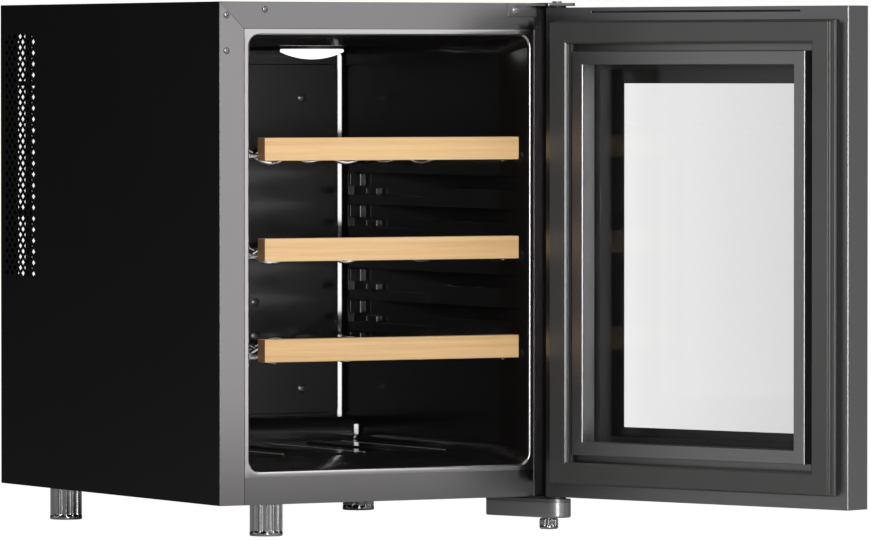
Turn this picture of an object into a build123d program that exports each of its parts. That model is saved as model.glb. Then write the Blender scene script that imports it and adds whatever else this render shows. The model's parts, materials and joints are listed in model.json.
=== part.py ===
"""Compact thermoelectric wine cooler: steel cabinet, three sliding shelves and a glazed door.

Axes: +X is the cabinet's right, +Y its back, +Z up. The origin is the centre of the
base pan's underside. The door stands open by DOOR_OPEN about its pins on the right.
"""

import os
from math import cos, pi, radians, sin

from build123d import *

os.makedirs("parts", exist_ok=True)

# ---- driving sizes, millimetres -------------------------------------------------
WIDTH = 372.0
DEPTH = 471.0
HEIGHT = 480.0
SHEET = 1.0  # side and top steel
PAN = 1.2  # base pan steel
FIT = 0.3  # gap between pieces that only stand near each other
RUN = 0.05  # radial clearance of a turning or sliding pin

# Front frame of the cabinet
STILE = 26.7
RAIL = 26.0
FRAME_SKIN = 2.0
FRAME_FLANGE = 12.0
FRAME_WALL = 1.5
SEAM = 0.15  # half of a visible joint line

# Liner
LIP = 5.6
LIP_RAIL = 6.0
CAVITY_INSET = 8.4  # wall behind the flared mouth
CEILING_DROP = 9.5
FLOOR_RISE = 9.0
MOUTH_DEPTH = 46.0
SERVICE_DEPTH = 107.0  # behind the liner, for the cooling unit
MOUTH_RADIUS = 11.0
HUMP_RADIUS = 14.0
LINER_BACK = 2.2
LINER_GAP = 2.0
HUMP_DEPTH = 34.0
HUMP_RISE = 24.0
PAD_WIDTH = 40.0
PAD_PITCH = 90.0
PAD_RISE = 1.8
PAD_START = 85.0
PAD_TO_BACK = 64.0

# Shelf guides in the liner walls
LEVELS = 7
GUIDE_PITCH = 32.1
TOP_GUIDE_DROP = 149.9  # cabinet top to the highest front ledge
GUIDE_RECESS = 7.2
GUIDE_OPEN = 13.5
GUIDE_STEP = 9.0
GUIDE_STEP_AT = 177.0
GUIDE_TO_BACK = 14.0
STOP_TO_BACK = 38.0
STOP_LENGTH = 21.0
STOP_HEIGHT = 12.3
REST_TO_BACK = 72.0
REST_HEIGHT = 6.1
BOSS_DEPTH = 6.0

# Shelves
SHELF_STEP = 3  # guide levels between two shelves
SHELVES = 3
BOTTLE_PITCH = 84.0
FASCIA_SIDE_GAP = 5.3
FASCIA_SHIFT = 3.0  # towards the hinge side
FASCIA_HEIGHT = 22.0
FASCIA_THICK = 15.0
FASCIA_SETBACK = 0.5
FASCIA_OVER_LEDGE = 20.1
WIRE = 5.0
CROSS_WIRE = 4.0
RAIL_GAP = 1.0  # wire rail to the bottom of its groove
RACK_TO_BACK = 44.0
CROSS_FIRST = 88.0
CROSS_LAST_GAP = 7.0
CROSS_WIRES = 4
TROUGH_RADIUS = 40.0
CREST_RADIUS = 16.0
WAVE_RISE = 18.4
TROUGH_DROP = 3.5
SHELF_SCREW_IN = 14.0

# Cooling unit behind the liner
BULKHEAD = 1.0
UNIT_HEIGHT = 245.0
PANEL_THICK = 3.0
PANEL_SIDE_GAP = 5.3
PANEL_LIFT = 3.0
PANEL_DROP = 17.5
DUCT_SCREW_IN = 42.0
DUCT_SCREW_LIFT = 25.2
DUCT_SCREW_DROP = 34.3
CLIP_SCREW_X = 44.5
CLIP_SCREW_LOW = 147.0
CLIP_SCREW_HIGH = 181.0
COLD_FAN = 60.0
COLD_FAN_THICK = 15.0
COLD_SINK = 80.0
COLD_SINK_THICK = 12.0
PELTIER = 40.0
PELTIER_THICK = 4.0
HOT_SINK_WIDTH = 110.0
HOT_SINK_HEIGHT = 120.0
SINK_BASE = 6.0
SINK_FIN = 1.4
HOT_SINK_THICK = 34.0
HOT_FAN = 80.0
HOT_FAN_THICK = 20.0
FAN_BLADES = 7
FAN_HUB = 0.36  # hub radius as a share of the fan's bore radius
BLADE_GAP = 1.2

# Rear cover
REAR_COVER = 2.0
SLOT_WIDTH = 8.8
SLOT_PITCH = 15.2
SLOT_EDGE = 18.5
SLOT_LOW = 145.0
SLOT_TOP_DROP = 25.0
SLOT_BAR_DROPS = (208.3, 78.5)  # below the cabinet top
SLOT_BAR = 5.0

# Vents punched in the sides
VENT_TO_BACK = 72.6
VENT_COLUMNS = 11
VENT_COLUMN_PITCH = 5.9
VENT_LOW = 212.0
VENT_TOP_DROP = 25.0
VENT_ROW_PITCH = 11.0
VENT_HALF_WIDE = 4.05
VENT_HALF_TALL = 3.35

# Door, described shut: inset is measured in from its outline, depth forward of its back
DOOR_SIDE_GAP = 2.0
DOOR_TOP_DROP = 4.5
DOOR_THICK = 31.35
DOOR_GAP = 13.5
DOOR_OPEN = 110.3
DOOR_FRAME = 52.0
BEZEL = 10.0
OUTER_PANE = 3.0
INNER_PANE = 3.0
INNER_PANE_DEPTH = 7.0
PANE_EDGE = 44.7
SPACER = 8.0
BEAD_INSET = 42.5
BEAD_WIDTH = 13.0
BEAD_PROUD = 12.0
GASKET_INSET = 15.0
GASKET_WIDTH = 20.5
CONTROL_WIDTH = 120.0
CONTROL_HEIGHT = 22.0
TOP_SLOT_START = 57.0
TOP_SLOT_DROP = 3.6
TOP_SLOT = 1.7
TOP_SLOT_DEPTH = 6.0

# Hinges
PIN_FROM_EDGE = 9.6
PIN_DEPTH = 5.2
PIN_RADIUS = 3.0
PIN_REACH = 14.0
BUSH_WALL = 1.5
BUSH_LENGTH = 16.0
WASHER_RADIUS = 9.0
HINGE_PLATE = 3.0
ARM_RADIUS = 13.7
ARM_LENGTH = 79.2
ARM_ANGLE = 109.3
ARM_BOTTOM = 20.0
ARM_WALL = 2.0
ARM_SCREWS = (45.0, 68.0)
SHIM = 2.0
UPPER_FLANGE_LENGTH = 56.6
UPPER_FLANGE_DROP = 13.5
UPPER_FLANGE_IN = 6.0  # room for the door's corner as it swings past
UPPER_FLANGE = 2.0
UPPER_PLATE_LEFT = 31.0
UPPER_PLATE_OVER = 2.0
UPPER_PLATE_REACH = 33.0
HINGE_SCREW_IN = 48.8
HINGE_SCREW_DROP = 7.3

# Feet
FOOT_RADIUS = 16.0
FOOT_HEIGHT = 31.5
FOOT_RIM = 5.0
FLUTES = 14
FLUTE_RADIUS = 2.2
FRONT_FOOT = (65.5, 29.2)  # from the left side, from the front
REAR_FOOT = (20.0, 105.0)  # from the side, from the back
KNOB_RADIUS = 9.2
KNOB_GAP = 1.0  # knob to the arm above it
STUD_RADIUS = 4.0
STUD_FROM_PIN = 10.1
NUT_HEIGHT = 6.5

# Lamp
LAMP_RADIUS = 32.0
LAMP_RIM = 5.0
LAMP_DOME = 8.0
LAMP_AT = 159.0

# ---- places worked out from the sizes ------------------------------------------
LEFT, RIGHT = -WIDTH / 2, WIDTH / 2
FRONT, BACK = -DEPTH / 2, DEPTH / 2
MOUTH_HALF = WIDTH / 2 - STILE - LIP
MOUTH_LOW = RAIL + LIP_RAIL
MOUTH_HIGH = HEIGHT - RAIL - LIP_RAIL
CAVITY_HALF = MOUTH_HALF - CAVITY_INSET
CAVITY_DEPTH = DEPTH - SERVICE_DEPTH
FLOOR = MOUTH_LOW + FLOOR_RISE
CEILING = MOUTH_HIGH - CEILING_DROP
GROOVE_HALF = CAVITY_HALF + GUIDE_RECESS
LINER_HALF = WIDTH / 2 - STILE - LINER_GAP
LINER_LOW = RAIL + LINER_GAP
LINER_HIGH = HEIGHT - RAIL - LINER_GAP
LINER_END = FRONT + CAVITY_DEPTH + LINER_BACK
COLD_BACK = CAVITY_DEPTH + FIT + COLD_FAN_THICK + COLD_SINK_THICK
MODULE_END = COLD_BACK + PELTIER_THICK
BULKHEAD_AT = MODULE_END - BULKHEAD
LEDGES = [HEIGHT - TOP_GUIDE_DROP - level * GUIDE_PITCH for level in range(LEVELS)]
RAIL_HALF = GROOVE_HALF - RAIL_GAP - WIRE / 2
RACK_END = CAVITY_DEPTH - RACK_TO_BACK
CROSS_PITCH = (RACK_END - CROSS_LAST_GAP - CROSS_FIRST) / (CROSS_WIRES - 1)
CRADLES = int(2 * CAVITY_HALF // BOTTLE_PITCH)
FASCIA_HALF = CAVITY_HALF - FASCIA_SIDE_GAP
SHELF_SCREWS_X = [FASCIA_SHIFT + sign * (FASCIA_HALF - SHELF_SCREW_IN) for sign in (-1, 1)]
PANEL_HALF = CAVITY_HALF - PANEL_SIDE_GAP
PANEL_BOTTOM = FLOOR + HUMP_RISE + PANEL_LIFT
PANEL_TOP = CEILING - PANEL_DROP
VENT_ROWS = int((HEIGHT - VENT_TOP_DROP - VENT_LOW) // VENT_ROW_PITCH)
SLOT_BARS = [HEIGHT - drop for drop in SLOT_BAR_DROPS]
KNOB_HEIGHT = FOOT_HEIGHT - ARM_BOTTOM - KNOB_GAP
DOOR_HALF = WIDTH / 2 - DOOR_SIDE_GAP
DOOR_BOTTOM = 0.0
DOOR_TOP = HEIGHT - DOOR_TOP_DROP
DOOR_BACK = FRONT - DOOR_GAP
DOOR_FACE = DOOR_BACK - DOOR_THICK
PIN_X = DOOR_HALF - PIN_FROM_EDGE
PIN_Y = DOOR_BACK - PIN_DEPTH
DOOR_TURN = Pos(PIN_X, PIN_Y, 0) * Rot(0, 0, DOOR_OPEN) * Pos(-PIN_X, -PIN_Y, 0)


# ---- helpers --------------------------------------------------------------------
def block(x0, x1, y0, y1, z0, z1):
    """Return a box between two corners."""
    centre = Pos((x0 + x1) / 2, (y0 + y1) / 2, (z0 + z1) / 2)
    return centre * Box(abs(x1 - x0), abs(y1 - y0), abs(z1 - z0))


def rod_z(x, y, z0, z1, radius):
    """Return an upright round rod."""
    return Pos(x, y, (z0 + z1) / 2) * Cylinder(radius, z1 - z0)


def rod_y(x, z, y0, y1, radius):
    """Return a round rod that runs front to back."""
    return Pos(x, (y0 + y1) / 2, z) * Rot(90, 0, 0) * Cylinder(radius, y1 - y0)


def rod_x(y, z, x0, x1, radius):
    """Return a round rod that runs left to right."""
    return Pos((x0 + x1) / 2, y, z) * Rot(0, 90, 0) * Cylinder(radius, x1 - x0)


def prism_y(points, y0, y1):
    """Return an (x, z) outline drawn out from y0 back to y1."""
    outline = make_face(Polyline(*[(x, y0, z) for x, z in points], close=True))
    return extrude(outline, amount=y1 - y0, dir=(0, 1, 0))


def prism_x(points, x0, x1):
    """Return a (y, z) outline drawn out from x0 right to x1."""
    outline = make_face(Polyline(*[(x0, y, z) for y, z in points], close=True))
    return extrude(outline, amount=x1 - x0, dir=(1, 0, 0))


def prism_z(points, z0, z1):
    """Return an (x, y) outline drawn up from z0 to z1."""
    outline = make_face(Polyline(*[(x, y, z0) for x, y in points], close=True))
    return extrude(outline, amount=z1 - z0, dir=(0, 0, 1))


def rounded_slab(half, low, high, radius, y0, y1):
    """Return a slab with rounded upright corners, seen from the front."""
    place = Plane((0, y0, (low + high) / 2), x_dir=(1, 0, 0), z_dir=(0, 1, 0))
    return extrude(place * RectangleRounded(2 * half, high - low, radius), amount=y1 - y0)


def save(node, *pieces):
    """Write one node's solids to its own file."""
    solids = [solid for piece in pieces for solid in piece.solids()]
    group = solids[0] if len(solids) == 1 else Compound(children=solids)
    group.label = node
    export_step(group, f"parts/{node}.step")


def save_door(node, *pieces):
    """Write a door node, swung open about the hinge pins."""
    save(node, *[DOOR_TURN * piece for piece in pieces])


def pan_screw(radius, head_height, shank, length):
    """Return a domed screw whose head faces -Y and seats on the plane y = 0."""
    dome_radius = (radius**2 + head_height**2) / (2 * head_height)
    dome = Pos(0, dome_radius - head_height, 0) * Sphere(dome_radius)
    head = dome & rod_y(0, 0, -head_height, 0, radius)
    slot = block(-radius * 0.6, radius * 0.6, -head_height, -head_height * 0.45, -0.4, 0.4)
    cross = block(-0.4, 0.4, -head_height, -head_height * 0.45, -radius * 0.6, radius * 0.6)
    return head - slot - cross + rod_y(0, 0, 0, length, shank)


# ---- cabinet case ---------------------------------------------------------------
def vent_wires(x):
    """Return the outlines of the diamond vents at one side."""
    wires = []
    for column in range(VENT_COLUMNS):
        y = BACK - VENT_TO_BACK + column * VENT_COLUMN_PITCH
        for row in range(VENT_ROWS):
            z = VENT_LOW + (row + 0.5 * (column % 2)) * VENT_ROW_PITCH
            corners = [
                (x, y - VENT_HALF_WIDE, z),
                (x, y, z - VENT_HALF_TALL),
                (x, y + VENT_HALF_WIDE, z),
                (x, y, z + VENT_HALF_TALL),
            ]
            wires.append(Wire(Polyline(*corners, close=True).edges()))
    return wires


def side_panel(x):
    """Return one side sheet with its punched vents; x is its left face."""
    y0, y1, z0, z1 = FRONT + FRAME_SKIN, BACK, PAN, HEIGHT - SHEET
    corners = [(x, y0, z0), (x, y1, z0), (x, y1, z1), (x, y0, z1)]
    outline = Wire(Polyline(*corners, close=True).edges())
    return extrude(Face(outline, vent_wires(x)), amount=SHEET, dir=(1, 0, 0))


def front_bar(side):
    """Return a channel of the front frame, mitred at the top and butted at the bottom."""
    inner_x, outer_x = RIGHT - STILE, RIGHT
    inner_top = HEIGHT - RAIL
    hidden = SHEET + FIT
    if side == "top":
        skin = [
            (LEFT + SEAM, HEIGHT),
            (LEFT + STILE + SEAM, inner_top),
            (inner_x - SEAM, inner_top),
            (RIGHT - SEAM, HEIGHT),
        ]
        ends = inner_x - FIT
        inner = (-ends, ends, inner_top, inner_top + FRAME_WALL)
        outer = (-ends, ends, HEIGHT - hidden - FRAME_WALL, HEIGHT - hidden)
    elif side == "bottom":
        ends = inner_x - SEAM
        skin = [(-ends, 0), (ends, 0), (ends, RAIL), (-ends, RAIL)]
        inner = (-ends + FIT, ends - FIT, RAIL - FRAME_WALL, RAIL)
        outer = (-ends + FIT, ends - FIT, PAN, PAN + FRAME_WALL)
    else:
        sign = -1 if side == "left" else 1
        skin = [
            (sign * outer_x, 0),
            (sign * outer_x, HEIGHT - SEAM),
            (sign * inner_x, inner_top - SEAM),
            (sign * inner_x, 0),
        ]
        low, high = PAN, inner_top - FIT
        inner = (sign * inner_x, sign * (inner_x + FRAME_WALL), low, high)
        outer = (sign * (outer_x - hidden - FRAME_WALL), sign * (outer_x - hidden), low, high)
    bar = prism_y(skin, FRONT, FRONT + FRAME_SKIN)
    for x0, x1, z0, z1 in (inner, outer):
        bar += block(x0, x1, FRONT + FRAME_SKIN, FRONT + FRAME_FLANGE, z0, z1)
    return bar


def make_case():
    save("side_panel_left", side_panel(LEFT))
    save("side_panel_right", side_panel(RIGHT - SHEET))
    top = block(LEFT, RIGHT, FRONT + FRAME_SKIN, BACK, HEIGHT - SHEET, HEIGHT)
    save("top_panel", top)
    pan = block(LEFT, RIGHT, FRONT + FRAME_SKIN, BACK, 0, PAN)
    for x, y in foot_places():
        pan -= rod_z(x, y, 0, PAN, STUD_RADIUS + RUN)
    save("base_pan", pan)
    for side in ("left", "right"):
        save(f"front_stile_{side}", front_bar(side))
    for side in ("top", "bottom"):
        save(f"front_rail_{side}", front_bar(side))


# ---- liner and insulation -------------------------------------------------------
def cavity():
    """Return the hollow inside the liner, with the flared mouth."""
    middle_mouth = (MOUTH_LOW + MOUTH_HIGH) / 2
    middle = (FLOOR + CEILING) / 2
    mouth_place = Plane((0, FRONT, middle_mouth), x_dir=(1, 0, 0), z_dir=(0, 1, 0))
    throat_place = Plane((0, FRONT + MOUTH_DEPTH, middle), x_dir=(1, 0, 0), z_dir=(0, 1, 0))
    mouth = mouth_place * RectangleRounded(2 * MOUTH_HALF, MOUTH_HIGH - MOUTH_LOW, MOUTH_RADIUS)
    throat = throat_place * RectangleRounded(2 * CAVITY_HALF, CEILING - FLOOR, MOUTH_RADIUS)
    flare = loft([mouth, throat])
    room = rounded_slab(
        CAVITY_HALF, FLOOR, CEILING, MOUTH_RADIUS, FRONT + MOUTH_DEPTH, FRONT + CAVITY_DEPTH
    )
    room = fillet(room.faces().sort_by(Axis.Y)[-1].edges(), PANEL_SIDE_GAP - FIT)
    hump_front = FRONT + CAVITY_DEPTH - HUMP_DEPTH
    hump = block(-LINER_HALF, LINER_HALF, hump_front, LINER_END, 0, FLOOR + HUMP_RISE)
    ridge = hump.edges().filter_by(Axis.X).group_by(Axis.Z)[-1].sort_by(Axis.Y)[0]
    room -= fillet(ridge, HUMP_RADIUS)
    for offset in (-PAD_PITCH, 0, PAD_PITCH):
        pad = block(
            offset - PAD_WIDTH / 2,
            offset + PAD_WIDTH / 2,
            FRONT + PAD_START,
            FRONT + CAVITY_DEPTH - PAD_TO_BACK,
            FLOOR - PAD_RISE,
            FLOOR + PAD_RISE,
        )
        room -= chamfer(pad.faces().sort_by(Axis.Z)[-1].edges(), PAD_RISE * 0.9)
    return flare + room


def groove(ledge):
    """Return one guide groove across both walls, taller behind its step."""
    top = ledge + GUIDE_OPEN
    low = ledge - GUIDE_STEP
    step = FRONT + GUIDE_STEP_AT
    end = FRONT + CAVITY_DEPTH - GUIDE_TO_BACK
    outline = [
        (FRONT - 1, ledge),
        (step, ledge),
        (step, low),
        (end, low),
        (end, top),
        (FRONT - 1, top),
    ]
    return prism_x(outline, -GROOVE_HALF, GROOVE_HALF)


def wall_bosses(ledge):
    """Return the shelf stop and the small rest at the back of each groove."""
    bosses = []
    for sign in (-1, 1):
        x0, x1 = sign * (GROOVE_HALF - BOSS_DEPTH), sign * (GROOVE_HALF + 1)
        stop = FRONT + CAVITY_DEPTH - STOP_TO_BACK
        bosses.append(block(x0, x1, stop, stop + STOP_LENGTH, ledge + 0.3, ledge + STOP_HEIGHT))
        rest = FRONT + CAVITY_DEPTH - REST_TO_BACK
        low = ledge - GUIDE_STEP + 1.1
        bosses.append(block(x0, x1, rest, rest + STOP_LENGTH, low, low + REST_HEIGHT))
    return bosses


def make_liner():
    half_window = COLD_SINK / 2 + 2
    liner = block(-LINER_HALF, LINER_HALF, FRONT, LINER_END, LINER_LOW, LINER_HIGH)
    lip = block(
        LEFT + STILE + FIT / 2,
        RIGHT - STILE - FIT / 2,
        FRONT,
        FRONT + FRAME_SKIN,
        RAIL + FIT / 2,
        HEIGHT - RAIL - FIT / 2,
    )
    liner = liner + lip - cavity()
    for ledge in LEDGES:
        liner -= groove(ledge)
    for ledge in LEDGES:
        for boss in wall_bosses(ledge):
            liner += boss
    window = UNIT_HEIGHT - half_window, UNIT_HEIGHT + half_window
    liner -= block(-half_window, half_window, LINER_END - 10, LINER_END + 1, *window)
    for x, z in duct_screws():
        liner -= rod_y(x, z, LINER_END - 10, LINER_END + 1, 1.6)
    seat = FRONT + LAMP_AT
    liner -= rod_z(0, seat, CEILING - 1, LINER_HIGH + 1, 3.0)
    save("liner", liner)

    foam = block(
        LEFT + SHEET,
        RIGHT - SHEET,
        FRONT + FRAME_FLANGE + FIT,
        FRONT + BULKHEAD_AT,
        PAN,
        HEIGHT - SHEET,
    )
    foam -= block(-LINER_HALF, LINER_HALF, FRONT, LINER_END, LINER_LOW, LINER_HIGH)
    foam -= block(-half_window, half_window, LINER_END - 1, BACK, *window)
    foam -= rod_z(0, seat, LINER_HIGH - 1, LINER_HIGH + 5, LAMP_RADIUS * 0.6)
    for x, y in foot_places():
        foam -= rod_z(x, y, 0, PAN + 12, STUD_RADIUS + 4)
    save("insulation_foam", foam)
    bulkhead = block(
        LEFT + SHEET,
        RIGHT - SHEET,
        FRONT + BULKHEAD_AT,
        FRONT + BULKHEAD_AT + BULKHEAD,
        PAN,
        HEIGHT - SHEET,
    )
    window_half = PELTIER / 2 + 4
    bulkhead -= block(
        -window_half,
        window_half,
        FRONT,
        BACK,
        UNIT_HEIGHT - window_half,
        UNIT_HEIGHT + window_half,
    )
    save("rear_bulkhead", bulkhead)


# ---- cooling unit ---------------------------------------------------------------
def duct_screws():
    """Return the (x, z) places of the screws in the duct panel."""
    places = []
    for sign in (-1, 1):
        for z in (PANEL_BOTTOM + DUCT_SCREW_LIFT, PANEL_TOP - DUCT_SCREW_DROP):
            places.append((sign * (PANEL_HALF - DUCT_SCREW_IN), z))
        for z in (CLIP_SCREW_LOW, CLIP_SCREW_HIGH):
            places.append((sign * CLIP_SCREW_X, z))
    return places


def fan_frame(size, y0, thick):
    """Return a square axial fan housing with its motor spider."""
    radius = size / 2 - 2
    frame = block(-size / 2, size / 2, y0, y0 + thick, -size / 2, size / 2)
    frame = fillet(frame.edges().filter_by(Axis.Y), 4)
    frame -= rod_y(0, 0, y0, y0 + thick, radius)
    back = y0 + thick
    frame += rod_y(0, 0, back - 2, back, radius * FAN_HUB)
    for turn in range(4):
        arm = block(0, radius + 1, back - 2, back, -1.5, 1.5)
        frame += Rot(0, 45 + 90 * turn, 0) * arm
    for x in (-1, 1):
        for z in (-1, 1):
            hole = size / 2 - 4.5
            frame -= rod_y(x * hole, z * hole, y0, back, 2.1)
    return frame + rod_y(0, 0, y0 + 2, back - 1, 1.5)


def fan_rotor(size, y0, thick):
    """Return a fan rotor: a hub bored for the shaft, with tilted blades."""
    radius = size / 2 - 2 - BLADE_GAP
    hub = radius * FAN_HUB
    front, back = y0 + 1, y0 + thick - 3
    rotor = rod_y(0, 0, front, back, hub)
    for turn in range(FAN_BLADES):
        blade = block(hub * 0.8, radius - 1.5, -0.7, 0.7, -radius * 0.26, radius * 0.26)
        tilted = Pos(0, (front + back) / 2, 0) * Rot(28, 0, 0) * blade
        rotor += Rot(0, 360 / FAN_BLADES * turn, 0) * tilted
    return rotor - rod_y(0, 0, y0 + 1.5, back, 1.5 + RUN)


def finned_sink(width, height, y0, thick, fins, toward):
    """Return a plate with upright fins; toward is +1 for fins at the back."""
    base_end = y0 + toward * SINK_BASE
    sink = block(-width / 2, width / 2, y0, base_end, -height / 2, height / 2)
    for fin in range(fins):
        x = -width / 2 + SINK_FIN / 2 + fin * (width - SINK_FIN) / (fins - 1)
        sink += block(
            x - SINK_FIN / 2, x + SINK_FIN / 2, y0, y0 + toward * thick, -height / 2, height / 2
        )
    return sink


def make_cooling():
    lift = Pos(0, 0, UNIT_HEIGHT)
    face = FRONT + CAVITY_DEPTH - PANEL_THICK
    panel = block(-PANEL_HALF, PANEL_HALF, face, face + PANEL_THICK, PANEL_BOTTOM, PANEL_TOP)
    panel = fillet(panel.edges().filter_by(Axis.Y), 6)
    panel = chamfer(panel.faces().sort_by(Axis.Y)[0].edges(), 0.8)
    for x, z in duct_screws():
        panel -= rod_y(x, z, face, face + 1.6, 4.9)
        panel -= rod_y(x, z, face, face + PANEL_THICK, 1.7)
    grille = COLD_FAN / 2 - 3
    for row in range(-4, 5):
        z = UNIT_HEIGHT + row * 6.0
        reach = (grille**2 - (row * 6.0) ** 2) ** 0.5
        panel -= block(-reach, reach, face, face + PANEL_THICK, z - 1.7, z + 1.7)
    for row in range(8):
        z = PANEL_TOP - 14 - row * 5.0
        panel -= block(-30, 30, face, face + PANEL_THICK, z - 1.2, z + 1.2)
    save("duct_panel", panel)
    screw = pan_screw(3.6, 1.4, 1.5, 3.4)
    save("duct_screws", *[Pos(x, face + 1.6, z) * screw for x, z in duct_screws()])

    fan_y = FRONT + CAVITY_DEPTH + FIT
    save("cold_fan_housing", lift * fan_frame(COLD_FAN, fan_y, COLD_FAN_THICK))
    save("cold_fan_rotor", lift * fan_rotor(COLD_FAN, fan_y, COLD_FAN_THICK))
    sink_back = FRONT + COLD_BACK
    cold = finned_sink(COLD_SINK, COLD_SINK, sink_back, COLD_SINK_THICK, 17, -1)
    save("cold_sink", lift * cold)
    half = PELTIER / 2
    module_end = FRONT + MODULE_END
    save("peltier_module", lift * block(-half, half, sink_back, module_end, -half, half))
    hot = finned_sink(HOT_SINK_WIDTH, HOT_SINK_HEIGHT, module_end, HOT_SINK_THICK, 22, 1)
    save("hot_sink", lift * hot)
    hot_y = module_end + HOT_SINK_THICK
    save("hot_fan_housing", lift * fan_frame(HOT_FAN, hot_y, HOT_FAN_THICK))
    save("hot_fan_rotor", lift * fan_rotor(HOT_FAN, hot_y, HOT_FAN_THICK))


def make_rear():
    y0 = BACK - REAR_COVER
    half = WIDTH / 2 - SHEET - FIT
    cover = block(-half, half, y0, BACK, PAN + FIT, HEIGHT - SHEET - FIT)
    count = int((WIDTH - 2 * SLOT_EDGE) // SLOT_PITCH)
    rows = [SLOT_LOW, *SLOT_BARS, HEIGHT - SLOT_TOP_DROP]
    for low, high in zip(rows, rows[1:]):
        low = low + SLOT_BAR / 2 if low in SLOT_BARS else low
        high = high - SLOT_BAR / 2 if high in SLOT_BARS else high
        for slot in range(count):
            x = LEFT + SLOT_EDGE + slot * SLOT_PITCH
            cover -= block(x, x + SLOT_WIDTH, y0, BACK, low, high)
    screws = []
    for sign in (-1, 1):
        for z in (30.0, HEIGHT - 30.0, VENT_LOW - 12.0):
            x = sign * (half - 8)
            cover -= rod_y(x, z, y0, BACK, 1.7)
            screw = Rot(0, 0, 180) * pan_screw(3.6, 1.8, 1.5, 8.0)
            screws.append(Pos(x, BACK, z) * screw)
    inlet_x, inlet_z = half - 70, 62.0
    cover -= block(inlet_x - 13.7, inlet_x + 13.7, y0, BACK, inlet_z - 10, inlet_z + 10)
    save("rear_cover", cover)
    save("rear_screws", *screws)

    body = block(
        inlet_x - 13.5, inlet_x + 13.5, y0 - 22, BACK + 1.5, inlet_z - 9.8, inlet_z + 9.8
    )
    flange = block(inlet_x - 20, inlet_x + 20, BACK, BACK + 1.5, inlet_z - 13, inlet_z + 13)
    flange = fillet(flange.edges().filter_by(Axis.Y), 3)
    inlet = flange + body
    inlet -= block(inlet_x - 12, inlet_x + 12, BACK - 15, BACK + 2, inlet_z - 8.2, inlet_z + 8.2)
    for offset, rise in ((-7, -1), (0, 2.5), (7, -1)):
        pin_x, pin_z = inlet_x + offset, inlet_z + rise
        inlet += block(pin_x - 1, pin_x + 1, BACK - 16, BACK - 2, pin_z - 2, pin_z + 2)
    save("power_inlet", inlet)

    board_x, board_y = -60.0, FRONT + BULKHEAD_AT + BULKHEAD
    board = block(board_x - 50, board_x + 50, board_y + 8, board_y + 9.6, 40, 120)
    for x in (board_x - 44, board_x + 44):
        for z in (46, 114):
            board += rod_y(x, z, board_y, board_y + 8, 3)
    board += block(board_x - 30, board_x, board_y + 9.6, board_y + 32, 60, 95)
    board += block(board_x + 15, board_x + 38, board_y + 9.6, board_y + 26, 50, 66)
    for spot in range(3):
        z = 78 + spot * 14
        board += rod_y(board_x + 26, z, board_y + 9.6, board_y + 34, 5.5)
    save("power_board", board)


def make_lamp():
    y = FRONT + LAMP_AT
    rim = rod_z(0, y, CEILING - LAMP_RIM, CEILING, LAMP_RADIUS)
    dome_radius = (LAMP_RADIUS**2 + LAMP_DOME**2) / (2 * LAMP_DOME)
    dome = Pos(0, y, CEILING - LAMP_RIM - LAMP_DOME + dome_radius) * Sphere(dome_radius)
    low = CEILING - LAMP_RIM - LAMP_DOME - 1
    lens = rim + (dome & rod_z(0, y, low, CEILING - LAMP_RIM, LAMP_RADIUS))
    lens -= rod_z(0, y, CEILING - LAMP_RIM + 1, CEILING, LAMP_RADIUS - 3)
    save("lamp_lens", lens)
    board = rod_z(0, y, CEILING - 1.6, CEILING, LAMP_RADIUS - 3.4)
    for spot in range(6):
        turn = radians(60 * spot)
        board += block(-1.75, 1.75, -1.4, 1.4, -2.4, -1.6).moved(
            Location((18 * cos(turn), y + 18 * sin(turn), CEILING))
        )
    save("lamp_board", board)


# ---- shelves --------------------------------------------------------------------
def cross_wire(y, bottom, centre):
    """Return a wavy wire that cradles the bottles, from rail to rail."""
    trough = bottom - TROUGH_DROP
    points = [(-RAIL_HALF, y, centre)]
    radii = []
    half_waves = 2 * CRADLES + 1
    for wave in range(half_waves):
        x = (wave - (half_waves - 1) / 2) * BOTTLE_PITCH / 2
        crest = wave % 2 == 0
        points.append((x, y, trough + (WAVE_RISE if crest else 0)))
        radii.append(CREST_RADIUS if crest else TROUGH_RADIUS)
    points.append((RAIL_HALF, y, centre))
    path = FilletPolyline(*points, radius=radii)
    start = Plane(path @ 0, z_dir=path % 0)
    return sweep(start * Circle(CROSS_WIRE / 2), path=path)


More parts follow.
